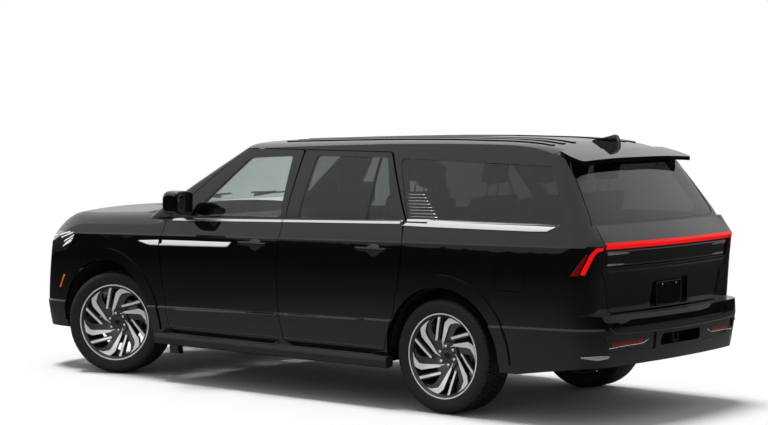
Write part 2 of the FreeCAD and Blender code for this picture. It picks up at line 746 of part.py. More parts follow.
# Rear end

def rear_recess(points, radii, depth, bumper=False):
    """A shallow pocket of even depth in the tailgate or in the bumper."""
    return rear_prism(points, radii, -3000, -2300).cut(within(lower_body(depth, SILL_BOTTOM, bumper), -3000, -2200))


def rear_bumper():
    """The bumper that stands out behind the tailgate, and its two wings up to the lamps."""
    seam = side_prism(BUMPER_SEAM, 0, y0=-FAR, y1=FAR)
    low = within(lower_body(0, SILL_BOTTOM, True), -3000, -1700, z1=BUMPER_TOP).common(seam)
    flare = within(FLARES[1], -3000, -1700, z1=BUMPER_TOP).common(seam)
    low = low.fuse([flare, mirrored(flare)])
    low = low.cut(within(INNER, -2900, -1600))
    low = low.cut([REAR_ARCH, mirrored(REAR_ARCH)])
    opening = rear_prism([(-262, 520), (262, 520), (240, 600), (-240, 600)], 20, -3000, -2300)
    foot = [(-2000, 100), (-2093, 330), (-2300, 362), (-2600, 405), (-3000, 425), (-3000, 100)]
    low = low.cut([opening, side_prism(foot, 0, y0=-FAR, y1=FAR)])
    step = rear_recess([(-610, 672), (610, 672), (660, 722), (-660, 722)], 10, 14, True)
    lamp = rear_recess([(300, 500), (640, 520), (800, 560), (790, 618), (320, 618)], 16, 12, True)
    low = low.cut([step, lamp, mirrored(lamp)])
    wing = within(LEFT_SKIN, -3000, -1700, 300, z0=BUMPER_TOP + SEAT_CLEARANCE).common(seam)
    wing = wing.cut(rear_prism(TAILGATE, TAILGATE_RADII, -3000, -2100, grow=PANEL_GAP))
    wing = wing.cut(side_prism(TAIL_LAMP, 0, y0=-FAR, y1=FAR, grow=SEAT_CLEARANCE))
    return [only_solid(low)] + both_sides(only_solid(wing))


PLATE_X, PLATE_Z = -2690.0, 858.0
PLATE = [(-152, 782), (152, 782), (152, 934), (-152, 934)]
PLATE_HOLES_Y, PLATE_HOLES_Z, PLATE_HOLE_RADIUS = 178.0, 121.0, 3.5
# inside of this outline only the body's side walls stand, and none of the tailgate
BESIDE_GATE = [
    (-2100, 1766), (-2290, 1766), (-2348, 1690), (-2405, 1600), (-2500, 1450), (-2580, 1320), (-2100, 1320),
]


def tailgate():
    gate = SKIN.common(rear_prism(TAILGATE, TAILGATE_RADII, -3000, ROOF_REAR_X - PANEL_GAP))
    gate = gate.cut([rear_prism(TAIL_WINDOW, TAIL_WINDOW_RADII, -3000, -2100), roof_region(PANEL_GAP)])
    gate = gate.cut(LIGHT_BAR_CUT).fuse(spoiler())
    smoked = rear_recess([(-786, 1066), (786, 1066), (796, 1190), (-796, 1190)], 8, 8)
    low_panel = rear_recess([(-690, 792), (690, 792), (734, 978), (-734, 978)], 24, 7)
    plate_bay = rear_recess([(-262, 774), (262, 774), (232, 958), (-232, 958)], 24, 30)
    gate = gate.cut([smoked, low_panel.fuse(plate_bay), side_prism(BESIDE_GATE, 0, y0=-FAR, y1=FAR)])
    plate = rear_prism(PLATE, 8, PLATE_X, PLATE_X + 40)
    holes = []
    for y in (-PLATE_HOLES_Y / 2, PLATE_HOLES_Y / 2):
        for z in (PLATE_Z - PLATE_HOLES_Z / 2, PLATE_Z + PLATE_HOLES_Z / 2):
            holes.append(Part.makeCylinder(PLATE_HOLE_RADIUS, 26, V(PLATE_X - 1, y, z), V(1, 0, 0)))
    return only_solid(gate.fuse(plate).cut(holes))


LIGHT_BAR = [(-796, 1196), (796, 1196), (808, 1240), (-808, 1240)]
LIGHT_BAR_CUT = rear_prism(LIGHT_BAR, 6, -3000, -2400, grow=SEAT_CLEARANCE).cut(lower_body(30))


def light_bar():
    return only_solid(LOWER.common(rear_prism(LIGHT_BAR, 6, -3000, -2400)).cut(lower_body(29)))



# Frame, floor and running gear

RAIL_Y0, RAIL_Y1 = 372.0, 448.0
FLOOR_Z, LOAD_FLOOR_Z, SHEET = 600.0, 745.0, 22.0
CABIN_FLOOR = FLOOR_Z + SHEET
HITCH_Z, HITCH_HALF, HITCH_BORE_HALF = 560.0, 38.0, 25.5
HITCH_END_X, HITCH_PIN_X, HITCH_PIN_RADIUS = -2752.0, -2690.0, 8.0


def chassis_frame():
    """Two kicked-up rails joined by cross members, with the towing receiver at the back."""
    side_view = [
        (2580, 470), (2580, 585), (1500, 585), (1250, 520), (-760, 520), (-1020, 700), (-1900, 700), (-2160, 620),
        (-2600, 620), (-2600, 500), (-2120, 500), (-1880, 590), (-1060, 590), (-800, 400), (1300, 400), (1520, 470),
    ]
    rail = side_prism(side_view, 0, RAIL_Y0, RAIL_Y1)
    cross = []
    for x0, x1, z0, z1 in (
        (2500, 2576, 480, 575), (1180, 1260, 352, 413), (-340, -260, 410, 510), (-1010, -950, 560, 640),
        (-1960, -1890, 600, 680), (-2590, -2520, 505, 615),
    ):
        cross.append(box(x0, x1, -RAIL_Y0 - 20, RAIL_Y0 + 20, z0, z1))
    half, bore = HITCH_HALF, HITCH_BORE_HALF
    receiver = box(HITCH_END_X, -2540, -half, half, HITCH_Z - half, HITCH_Z + half)
    mounts = []
    for x in (1050, 150, -560):
        for y in (RAIL_Y1 - 38, -RAIL_Y1 + 38):
            mounts.append(Part.makeCylinder(36, FLOOR_Z - 500, V(x, y, 500)))
    frame = rail.fuse([mirrored(rail), receiver] + cross + mounts)
    socket = box(HITCH_END_X - 10, -2600, -bore, bore, HITCH_Z - bore, HITCH_Z + bore)
    return only_solid(frame.cut([socket, cylinder_y(HITCH_PIN_X, HITCH_Z, HITCH_PIN_RADIUS, -100, 100)]))


def floor_pan():
    """The stepped floor with the bulkhead in front of the cabin."""
    points = [
        (1262, FLOOR_Z), (1262, 1232), (1240, 1232), (1240, CABIN_FLOOR), (-800, CABIN_FLOOR),
        (-820, LOAD_FLOOR_Z + SHEET), (-2585, LOAD_FLOOR_Z + SHEET), (-2585, LOAD_FLOOR_Z), (-842, LOAD_FLOOR_Z),
        (-822, FLOOR_Z),
    ]
    floor = side_prism(points, 0, -FAR, FAR).common(FRAMED)
    return only_solid(floor.cut([REAR_ARCH, mirrored(REAR_ARCH)]))


def wheel_liner(x, radius, inner_y):
    """A tub over a wheel, open below and outwards, with a way through for the suspension."""
    tub = cylinder_y(x, TYRE_RADIUS, radius - 2, inner_y, 962)
    tub = tub.cut(cylinder_y(x, TYRE_RADIUS, radius - 8, inner_y + 6, 1000))
    tub = tub.cut(box(x - 600, x + 600, 300, FAR, -200, 430))
    return tub.cut(box(x - 230, x + 230, inner_y - 5, inner_y + 10, 0, 705))


def engine():
    """The engine and gearbox as plain blocks, and the radiator."""
    block = box(1420, 2080, -290, 290, 480, 1060)
    block = block.fuse([box(560, 1430, -150, 150, 415, 590), box(1760, 1840, -371.7, 371.7, 500, 560)])
    return block, box(2370, 2430, -540, 540, 585.3, 1060)


def front_arms():
    """Control arms and coil struts of both front wheels, and the steering rack."""
    x, pin = FRONT_AXLE_X, KINGPIN_Y
    lower = plan_prism([(x - 190, 440), (x + 190, 440), (x + 34, pin + 2), (x - 34, pin + 2)], [10, 10, 24, 24], 318, 346)
    lower = lower.cut(plan_prism([(x - 110, 480), (x + 110, 480), (x + 14, 690), (x - 14, 690)], 4, 300, 360))
    upper = [
        (x - 130, 440), (x + 130, 440), (x + 60, 580), (x + 24, 640), (x + 24, pin + 10), (x - 24, pin + 10),
        (x - 24, 640), (x - 60, 580),
    ]
    upper = plan_prism(upper, [8, 8, 30, 30, 18, 18, 30, 30], 618, 640)
    upper = upper.cut(plan_prism([(x - 80, 480), (x + 80, 480), (x + 20, 580), (x - 20, 580)], 4, 600, 660))
    hangers = [
        box(x - 190, x - 150, 400, 450, 318, 469.7),
        box(x + 150, x + 190, 400, 450, 318, 469.7),
        box(x - 130, x + 130, 400, 450, 585.3, 640),
    ]
    strut = tube_between(V(x, 640, 340), V(x, 600, 560), 26).fuse(tube_between(V(x, 604, 540), V(x, 560, 880), 58))
    tower = box(x - 80, x + 80, 469.3, 640, 870, 884)
    left = lower.fuse([strut, tower, upper] + hangers)
    rack = tube_between(V(x - 250, -440, 392), V(x - 250, 440, 392), 26)
    brackets = [box(x - 290, x - 220, 376, 440, 385, 469.7), box(x - 290, x - 220, -440, -376, 385, 469.7)]
    return left, mirrored(left), rack.fuse(brackets)


def rear_suspension():
    """The final drive with its half shafts, arms, hub carriers and coil springs."""
    x = REAR_AXLE_X
    drive = box(x - 150, x + 170, -130, 130, 330, 540)
    drive = drive.makeFillet(40, [e for e in drive.Edges if e.Length > 300])
    bridge = box(x - 60, x + 60, -RAIL_Y1 + 10, RAIL_Y1 - 10, 530, 589.7)
    shaft = cylinder_y(x, TYRE_RADIUS, 22, 120, 800)
    lower = plan_prism([(x - 160, 330), (x + 160, 330), (x + 40, 790), (x - 40, 790)], [10, 10, 20, 20], 290, 322)
    hangers = [box(x - 160, x - 120, 330, 380, 290, 589.7), box(x + 120, x + 160, 330, 380, 290, 589.7)]
    upright = box(x - 45, x + 45, 742, 790, 290, 562)
    hub = cylinder_y(x, TYRE_RADIUS, 55, 780, WHEEL_Y - 32)
    upper = box(x - 22, x + 22, 400, 780, 536, 562)
    spring = tube_between(V(x, 590, 310), V(x, 590, LOAD_FLOOR_Z - SEAT_CLEARANCE), 52)
    caliper = brake_caliper()
    caliper.translate(V(x, WHEEL_Y, TYRE_RADIUS))
    joined = shaft.fuse([lower, upright, hub, upper, spring, caliper] + hangers)
    return drive.fuse([bridge, joined, mirrored(joined)])


def exhaust():
    pipe = tube_between(V(1150, -200, 340), V(-700, -260, 360), 34)
    muffler = box(-1240, -640, -360, -150, 330, 440)
    return pipe.fuse(muffler.makeFillet(40, [e for e in muffler.Edges if e.Length > 400]))


BOARD_FRONT_X, BOARD_REAR_X = 1272.0, -1030.0


def running_board():
    """A side step: a rounded board hung from the frame rail on three brackets."""
    section = [(980, 300), (1036, 286), (1056, 298), (1062, 340), (1052, 364), (1034, 372), (980, 370)]
    wire = rounded_wire(section, [10, 14, 8, 20, 10, 10, 6], lambda u, v: V(BOARD_REAR_X, u, v))
    board = Part.Face(wire).extrude(V(BOARD_FRONT_X - BOARD_REAR_X, 0, 0))
    brackets = []
    for x in (950, 60, -700):
        brackets.append(box(x - 40, x + 40, RAIL_Y1, 990, 302, 326))
        brackets.append(box(x - 40, x + 40, RAIL_Y1, RAIL_Y1 + 14, 302, 440))
    return board.fuse(brackets)


# Cabin fittings

def seat(x, y, floor, width, places=1, rise=330.0):
    """A seat as one closed solid: base, cushion, raked back and head restraints. x is its hip point."""
    h = floor + rise
    y0, y1 = y - width / 2, y + width / 2
    cushion = [(x - 130, h - 150), (x + 380, h - 130), (x + 400, h - 20), (x + 340, h + 20), (x - 60, h - 10)]
    back = [(x - 180, h - 120), (x - 50, h - 110), (x - 170, h + 520), (x - 250, h + 540), (x - 300, h + 500)]
    head = [(x - 215, h + 575), (x - 300, h + 580), (x - 325, h + 740), (x - 260, h + 760), (x - 215, h + 700)]
    base = [(x - 120, floor), (x + 330, floor), (x + 300, h - 110), (x - 100, h - 110)]
    solid = side_prism(cushion, 16, y0, y1).fuse([side_prism(back, 20, y0, y1), side_prism(base, 0, y0 + 50, y1 - 50)])
    for i in range(places):
        middle = y0 + width * (i + 0.5) / places
        posts = [tube_between(V(x - 215, middle + dy, h + 480), V(x - 262, middle + dy, h + 620), 8) for dy in (-80, 80)]
        solid = solid.fuse(posts + [side_prism(head, 20, middle - 135, middle + 135)])
    return only_solid(solid)


def dashboard():
    points = [(1239, 905), (1239, 1228), (1180, 1262), (1000, 1240), (900, 1205), (872, 1120), (940, 1000), (1060, 905)]
    desk = side_prism(points, [0, 0, 30, 60, 30, 30, 40, 30], -850, 850)
    return desk.fuse(box(60, 1100, -130, 130, CABIN_FLOOR, 900))


STEERING_CENTRE = V(760, 390, 1075)
STEERING_TILT = math.radians(24)


def steering_wheel():
    toward = V(math.cos(STEERING_TILT), 0, -math.sin(STEERING_TILT))
    up = V(math.sin(STEERING_TILT), 0, math.cos(STEERING_TILT))
    solid = Part.makeCylinder(62, 40, STEERING_CENTRE - toward * 10, toward)
    solid = solid.fuse([Part.makeTorus(182, 15, STEERING_CENTRE, toward), Part.makeCylinder(26, 150, STEERING_CENTRE, toward)])
    for direction in (V(0, 1, 0), V(0, -1, 0), up * -1):
        solid = solid.fuse(tube_between(STEERING_CENTRE, STEERING_CENTRE + direction * 180, 14))
    return solid


# Wheels. Each is drawn about the Y axis with its outer face toward +Y.

KINGPIN_Y = WHEEL_Y - 45.0


def wheel_at_rest(shape, x, side, steered):
    """Moves a wheel, or what turns with it, to its place; the front ones stand steered to the left."""
    placed = shape.copy()
    if side < 0:
        placed.rotate(V(0, 0, 0), V(0, 0, 1), 180)
    placed.translate(V(x, side * WHEEL_Y, TYRE_RADIUS))
    if steered:
        placed.rotate(V(x, side * KINGPIN_Y, 0), V(0, 0, 1), STEER_AT_REST)
    return placed


def revolved(points):
    """A solid turned about the Y axis from pairs of y and radius."""
    wire = Part.makePolygon([V(r, y, 0) for y, r in points + points[:1]])
    return Part.Face(wire).revolve(V(0, 0, 0), V(0, 1, 0), 360)


def tyre():
    half, bead, tread = TYRE_WIDTH / 2, RIM_SEAT_RADIUS + SEAT_CLEARANCE, TYRE_RADIUS
    return revolved(
        [
            (-115, bead), (115, bead), (116.5, RIM_RADIUS + 0.8), (half, 344), (half - 20, tread),
            (20 - half, tread), (-half, 344), (-116.5, RIM_RADIUS + 0.8),
        ]
    )


def spoke(points):
    wire = rounded_wire(points, 6, lambda u, v: V(u, 0, v))
    return Part.Face(wire).extrude(V(0, 140, 0))


# Seen from outside, a wide spoke rises from the hub and bends along the rim; a thin straight one lies beside it.
# Both stand out from broader webs that lie further in.
WEB_RECESS = 13.0
WIDE_SPOKE = [
    (58, 40), (42, 99), (-4, 234), (-38, 262), (-98, 284), (-186, 262), (-186, 222), (-108, 238), (-54, 226),
    (-35, 204), (26, 90), (34, 40),
]
THIN_SPOKE = [(-38, 131), (-222, 184), (-232, 166), (-48, 117)]
SPOKE_WEB = [
    (50, 30), (42, 90), (-10, 220), (-100, 276), (-190, 250), (-176, 206), (-128, 218), (-88, 196), (-66, 160),
    (-24, 84), (0, 30),
]
THIN_WEB = [(-6, 60), (-40, 138), (-216, 192), (-240, 160), (-66, 112), (-40, 50)]


def rim():
    """The wheel: rim barrel, hub with its brake disc and twelve spokes in six pairs."""
    lip = RIM_WIDTH / 2
    barrel = revolved(
        [
            (-lip, RIM_RADIUS - 4), (-lip + 12, RIM_RADIUS - 4), (-lip + 14, RIM_SEAT_RADIUS),
            (lip - 14, RIM_SEAT_RADIUS), (lip - 12, RIM_RADIUS), (lip, RIM_RADIUS), (lip, RIM_RADIUS - 10),
            (lip - 18, BARREL_RADIUS + 10), (lip - 60, BARREL_RADIUS), (-lip + 10, BARREL_RADIUS), (-lip, RIM_SEAT_RADIUS),
        ]
    )
    dish = revolved([(36, 0), (66, 0), (66, 70), (78, 90), (104, 200), (114, 276), (84, 276), (58, 120), (36, 80)])
    hub = revolved([(-30, 0), (50, 0), (50, HUB_RADIUS), (-14, HUB_RADIUS), (-30, 60)])
    disc = revolved([(-10, 0), (14, 0), (14, 176), (-10, 176)])
    wide = spoke(WIDE_SPOKE)
    thin = spoke(THIN_SPOKE)
    web = spoke(SPOKE_WEB)
    thin_web = spoke(THIN_WEB)
    low_dish = dish.copy()
    low_dish.translate(V(0, -WEB_RECESS, 0))
    middle = Part.makeCylinder(HUB_RADIUS, 100, V(0, 0, 0), V(0, 1, 0))
    pair = dish.common(wide.fuse(thin)).fuse(low_dish.common(web.fuse(thin_web)))
    spokes = []
    for i in range(SPOKE_PAIRS):
        turned = pair.copy()
        turned.rotate(V(0, 0, 0), V(0, 1, 0), 360 / SPOKE_PAIRS * i)
        spokes.append(turned)
    return only_solid(barrel.fuse(spokes + [dish.common(middle), hub, disc]))


def brake_caliper():
    """The caliper that straddles the disc, above and behind the hub."""
    ring = revolved([(-44, 118), (38, 118), (38, 196), (-44, 196)])
    ring = ring.cut(revolved([(-16, 100), (20, 100), (20, 184), (-16, 184)]))
    wedge = side_prism([(0, 0), (-400, 60), (-300, 300), (-60, 300)], 0, -100, 100)
    return only_solid(ring.common(wedge))


def knuckle():
    """The upright that carries a front wheel and turns about the steering axis."""
    y = KINGPIN_Y - WHEEL_Y
    stub = revolved([(-100, 0), (-32, 0), (-32, 58), (-100, 58)])
    post = box(-36, 36, y - 32, y + 8, -52, 208)
    bridge = side_prism([(-36, -40), (-190, 60), (-150, 170), (-36, 120)], 10, -52, -32)
    return only_solid(stub.fuse([post, bridge, brake_caliper()]))


# Every piece, built and saved
for side, label in ((1, "left"), (-1, "right")):
    save("rim_front_" + label, wheel_at_rest(rim(), FRONT_AXLE_X, side, True))
    save("rim_rear_" + label, wheel_at_rest(rim(), REAR_AXLE_X, side, False))
    save("tyre_front_" + label, wheel_at_rest(tyre(), FRONT_AXLE_X, side, True))
    save("tyre_rear_" + label, wheel_at_rest(tyre(), REAR_AXLE_X, side, False))
    save("knuckle_" + label, wheel_at_rest(knuckle(), FRONT_AXLE_X, side, True))
liners = both_sides(wheel_liner(FRONT_AXLE_X, FRONT_ARCH_RADIUS, 463))
liners += both_sides(wheel_liner(REAR_AXLE_X, REAR_ARCH_RADIUS, 655))
save("wheel_liners", *liners)
save("chassis_frame", chassis_frame())
save("floor_pan", floor_pan())
save("engine", *engine())
save("front_arms", *front_arms())
save("rear_suspension", rear_suspension())
save("exhaust", exhaust())
save("running_boards", *both_sides(running_board()))
save("front_seats", *both_sides(seat(150, 390, CABIN_FLOOR, 520)))
save("middle_seats", *both_sides(seat(-650, 390, CABIN_FLOOR, 520)))
save("rear_bench", seat(-1640, 0, LOAD_FLOOR_Z + SHEET, 1220, 3, 250.0))
save("dashboard", dashboard())
save("steering_wheel", steering_wheel())
for name, door in (("front_door", front_door()), ("rear_door", rear_door())):
    save(name + "_left", door)
    save(name + "_right", mirrored(door))
save("body_sides", *both_sides(body_side()))
save("fuel_flap", fuel_flap())
save("tail_lamps", *both_sides(tail_lamp()))
save("roof_panel", *roof_panel())
save("headlamps", *both_sides(headlamp()))
save("front_bumper", front_bumper())
save("front_fenders", *both_sides(front_fender()))
save("grille", grille())
save("bonnet", bonnet())
save("cowl", cowl())
save("rear_bumper", *rear_bumper())
save("tailgate", tailgate())
save("light_bar", light_bar())
save("windscreen", pane(WINDSCREEN, WINDSCREEN_RADII, rear_prism, x0=300, x1=2000))
save("tailgate_glass", pane(TAIL_WINDOW, TAIL_WINDOW_RADII, rear_prism, x0=-3000, x1=-2200))
save("quarter_windows", *both_sides(pane(QUARTER_WINDOW, QUARTER_WINDOW_RADII, side_prism, y0=300)))
for name, outline, radii in (("front_glass", FRONT_WINDOW, FRONT_WINDOW_RADII), ("rear_glass", REAR_WINDOW, REAR_WINDOW_RADII)):
    glass = pane(outline, radii, side_prism, y0=300)
    save(name + "_left", glass)
    save(name + "_right", mirrored(glass))
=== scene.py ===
# %% [markdown]
# # A full-size suv in gloss black
# The car comes packed as a fixed frame of CAD solids: doors, glass, wheels and frame, each with its own body.
# This lesson dresses that frame. It gives every panel a finish and adds what a body shop would fit last:
# trim, lamps, tyres with tread, seats and seals. First the frame is loaded.

# %% Load the frame
import json
import math

import bmesh
import bpy
from mathutils import Matrix, Vector
from mathutils.bvhtree import BVHTree


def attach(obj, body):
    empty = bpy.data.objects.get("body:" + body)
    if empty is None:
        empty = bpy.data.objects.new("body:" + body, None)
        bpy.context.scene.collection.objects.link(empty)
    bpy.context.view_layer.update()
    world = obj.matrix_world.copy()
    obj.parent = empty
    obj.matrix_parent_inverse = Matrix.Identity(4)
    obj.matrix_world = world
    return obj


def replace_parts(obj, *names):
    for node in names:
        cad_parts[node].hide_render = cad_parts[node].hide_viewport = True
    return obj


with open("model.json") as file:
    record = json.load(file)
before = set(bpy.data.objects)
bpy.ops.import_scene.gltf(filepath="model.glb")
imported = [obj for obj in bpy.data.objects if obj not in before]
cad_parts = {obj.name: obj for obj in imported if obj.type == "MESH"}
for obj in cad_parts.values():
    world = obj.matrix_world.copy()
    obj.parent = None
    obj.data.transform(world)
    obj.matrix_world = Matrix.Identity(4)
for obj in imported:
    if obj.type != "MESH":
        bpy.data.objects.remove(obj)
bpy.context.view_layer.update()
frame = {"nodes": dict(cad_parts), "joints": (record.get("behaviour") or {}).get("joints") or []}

NODES = frame["nodes"]
LEFT, RIGHT = 1, -1
SIDE_NAME = {LEFT: "left", RIGHT: "right"}
FORWARD, BACKWARD = Vector((1, 0, 0)), Vector((-1, 0, 0))
LEFTWARD, UP = Vector((0, 1, 0)), Vector((0, 0, 1))

# %% [markdown]
# ## Camera
# The real picture was taken from behind the left rear wheel, low and far away with a long lens.
# A long lens keeps the sides nearly parallel, so the place and the lens have to be right together.
# They are set as a position, three angles and a focal length in pixels of the 768 pixel wide picture.

# %% The camera
PICTURE_WIDTH = 768
FOCAL_PIXELS = 2163.1
CAMERA_PLACE = Vector((-10.602, 12.791, 2.287))
YAW, PITCH, ROLL = (math.radians(v) for v in (-50.735, -3.391, -0.141))
scene = bpy.context.scene


def placed(name, data):
    """A new object of this data in the scene."""
    thing = bpy.data.objects.new(name, data)
    scene.collection.objects.link(thing)
    return thing


lens = bpy.data.cameras.new("view")
lens.sensor_width = 36.0
lens.lens = FOCAL_PIXELS / PICTURE_WIDTH * lens.sensor_width
lens.clip_start, lens.clip_end = 0.1, 400
camera = placed("view", lens)
ahead = Vector((math.cos(PITCH) * math.cos(YAW), math.cos(PITCH) * math.sin(YAW), math.sin(PITCH)))
camera.rotation_mode = "QUATERNION"
camera.rotation_quaternion = ahead.to_track_quat("-Z", "Y") @ Matrix.Rotation(-ROLL, 3, "Z").to_quaternion()
camera.location = CAMERA_PLACE
scene.camera = camera
print("lens", round(lens.lens, 1), "mm")

# %% [markdown]
# ## Light and floor
# Gloss black shows almost nothing of itself and nearly everything of the room. A photographer lights it with a big
# pale tent and a darker floor far out, so that a side shows a grey upper part, a crisp line and a dark lower part.
# The world is white to the eye and falls off softly towards the horizon for reflections. The floor is pale, keeps
# the car's shadow and, as black paint mirrors it, goes darker far out.

# %% The world
world = bpy.data.worlds.new("tent")
scene.world = world
world.use_nodes = True
scene.view_settings.view_transform = "Standard"


def nodes_of(tree):
    """A short way to add a node with its inputs set."""

    def add(kind, label="", **inputs):
        node = tree.nodes.new(kind)
        node.label = label
        for key, value in inputs.items():
            name = key.replace("_", " ")
            if name in node.inputs:
                node.inputs[name].default_value = value
        return node

    return add


def fresh(tree):
    """Empties a shader tree and gives back what adds a node and what joins two."""
    tree.nodes.clear()
    return nodes_of(tree), tree.links.new


def ramp_of(add, stops, label=""):
    """A colour ramp node with its stops as pairs of position and grey or colour."""
    node = add("ShaderNodeValToRGB", label)
    band = node.color_ramp
    for i, (place, tone) in enumerate(stops):
        stop = band.elements[i] if i < 2 else band.elements.new(place)
        stop.position = place
        stop.color = (tone, tone, tone, 1) if isinstance(tone, (int, float)) else (*tone, 1)
    return node


def mixed(add, link, factor, a, b, label=""):
    """A colour between a and b; each is a plain colour or another node's output."""
    node = add("ShaderNodeMix", label)
    node.data_type = "RGBA"
    link(factor, node.inputs["Factor"])
    for key, value in (("A", a), ("B", b)):
        if isinstance(value, tuple):
            node.inputs[key].default_value = value
        else:
            link(value, node.inputs[key])
    return node.outputs["Result"]


def combined(add, link, operation, first, second, label=""):
    """Two values joined by one operation, such as MULTIPLY or MAXIMUM."""
    node = add("ShaderNodeMath", label)
    node.operation = operation
    link(first, node.inputs[0])
    link(second, node.inputs[1])
    return node.outputs[0]


def seen_by_eye(add, link, rays):
    """1 where a ray comes from the camera or through glass, 0 for light and reflections."""
    outputs = rays.outputs
    return combined(add, link, "MAXIMUM", outputs["Is Camera Ray"], outputs["Is Transmission Ray"], "camera or glass")


TENT_FOR_LIGHT = 0.36
TENT_SEEN_IN_PAINT = [(0.0, 0.50), (0.04, 0.56), (0.16, 0.78), (0.45, 1.0)]

add, link = fresh(world.node_tree)
where = add("ShaderNodeTexCoord")
split = add("ShaderNodeSeparateXYZ")
link(where.outputs["Generated"], split.inputs[0])
fall = ramp_of(add, TENT_SEEN_IN_PAINT, "tent as paint sees it")
link(split.outputs["Z"], fall.inputs["Fac"])
rays = add("ShaderNodeLightPath")
plain_light = (TENT_FOR_LIGHT,) * 3 + (1,)
glossy = mixed(add, link, rays.outputs["Is Glossy Ray"], plain_light, fall.outputs["Color"], "tent for gloss")
tent = add("ShaderNodeBackground")
link(mixed(add, link, seen_by_eye(add, link, rays), glossy, (1, 1, 1, 1), "white to the eye"), tent.inputs["Color"])
link(tent.outputs[0], add("ShaderNodeOutputWorld").inputs[0])
print("world nodes", len(world.node_tree.nodes))

# %% One soft lamp overhead
lamp_data = bpy.data.lights.new("overhead", "SUN")
lamp_data.energy = 2.35
lamp_data.angle = math.radians(18)
lamp = placed("overhead", lamp_data)
lamp.rotation_euler = (0, math.radians(11), 0)
print("lamp", lamp_data.energy, "W/m2")

# %% The floor
FLOOR_HALF = 90.0
PLAIN_WHITE_FROM, PLAIN_WHITE_TO = 4.6, 8.5
FLOOR_TONE = (0.97, 0.97, 0.97, 1)
DARKENS_FROM, DARKENS_TO = 1.5, 15.0
FLOOR_SEEN_IN_PAINT = [(0.0, 0.42), (0.11, 0.34), (0.26, 0.11), (0.5, 0.04), (1.0, 0.014)]
floor_mesh = bpy.data.meshes.new("floor")
ring = [(u * FLOOR_HALF, v * FLOOR_HALF, 0) for u, v in ((-1, -1), (1, -1), (1, 1), (-1, 1))]
floor_mesh.from_pydata(ring, [], [(0, 1, 2, 3)])
floor = placed("floor", floor_mesh)
floor.location.z = -0.0008
pale = bpy.data.materials.new("pale_floor")
pale.use_nodes = True
add, link = fresh(pale.node_tree)
where = add("ShaderNodeTexCoord")
length = add("ShaderNodeVectorMath", "distance from the car")
length.operation = "LENGTH"
link(where.outputs["Object"], length.inputs[0])
rays = add("ShaderNodeLightPath")
spread = add("ShaderNodeMapRange", "near to far", From_Min=DARKENS_FROM, From_Max=DARKENS_TO)
link(length.outputs["Value"], spread.inputs["Value"])
mirrored_floor = ramp_of(add, FLOOR_SEEN_IN_PAINT, "floor as paint sees it")
link(spread.outputs[0], mirrored_floor.inputs["Fac"])
matt = add("ShaderNodeBsdfPrincipled", Roughness=0.9)
matt.inputs["Specular IOR Level"].default_value = 0.0
tone = mixed(add, link, rays.outputs["Is Glossy Ray"], FLOOR_TONE, mirrored_floor.outputs["Color"], "floor tone")
link(tone, matt.inputs["Base Color"])
glow = add("ShaderNodeEmission", "plain white", Color=(1, 1, 1, 1))
far = add("ShaderNodeMapRange", "far out", From_Min=PLAIN_WHITE_FROM, From_Max=PLAIN_WHITE_TO)
far.interpolation_type = "SMOOTHSTEP"
link(length.outputs["Value"], far.inputs["Value"])
blend = add("ShaderNodeMixShader")
link(combined(add, link, "MULTIPLY", far.outputs[0], seen_by_eye(add, link, rays)), blend.inputs[0])
link(matt.outputs[0], blend.inputs[1])
link(glow.outputs[0], blend.inputs[2])
link(blend.outputs[0], add("ShaderNodeOutputMaterial").inputs[0])
floor_mesh.materials.append(pale)
print("floor", 2 * FLOOR_HALF, "m wide")

# %% [markdown]
# ## Effects that several finishes share
# Dust low on the body, an uneven tone, the grain of a surface and a value between two limits are each one node
# group. A material then only says how much of it there is, and at what scale.

# %% Node groups
def group(name, inputs, outputs, build):
    """Makes a shader group; build gets the add and link helpers and the group's own ends."""
    tree = bpy.data.node_groups.new(name, "ShaderNodeTree")
    for label, kind, value in inputs:
        socket = tree.interface.new_socket(label, in_out="INPUT", socket_type=kind)
        socket.default_value = value
    for label, kind in outputs:
        tree.interface.new_socket(label, in_out="OUTPUT", socket_type=kind)
    add = nodes_of(tree)
    build(add, tree.links.new, add("NodeGroupInput"), add("NodeGroupOutput"))
    return tree


NUMBER, COLOUR = "NodeSocketFloat", "NodeSocketColor"


def build_grain(add, link, start, end):
    where = add("ShaderNodeTexCoord")
    noise = add("ShaderNodeTexNoise", Detail=4.0, Roughness=0.6)
    link(where.outputs["Object"], noise.inputs["Vector"])
    link(start.outputs["Scale"], noise.inputs["Scale"])
    link(combined(add, link, "MULTIPLY", noise.outputs["Fac"], start.outputs["Depth"]), end.inputs["Height"])
    link(noise.outputs["Fac"], end.inputs["Mask"])


GRAIN = group(
    "moulded_grain", [("Scale", NUMBER, 600.0), ("Depth", NUMBER, 1.0)], [("Height", NUMBER), ("Mask", NUMBER)],
    build_grain,
)


def build_tone(add, link, start, end):
    where = add("ShaderNodeTexCoord")
    noise = add("ShaderNodeTexNoise", Detail=3.0)
    link(where.outputs["Object"], noise.inputs["Vector"])
    link(start.outputs["Scale"], noise.inputs["Scale"])
    ends = start.outputs["Dark"], start.outputs["Light"]
    link(mixed(add, link, noise.outputs["Fac"], *ends), end.inputs["Colour"])


TONE = group(
    "uneven_tone",
    [("Dark", COLOUR, (0, 0, 0, 1)), ("Light", COLOUR, (1, 1, 1, 1)), ("Scale", NUMBER, 6.0)],
    [("Colour", COLOUR)],
    build_tone,
)


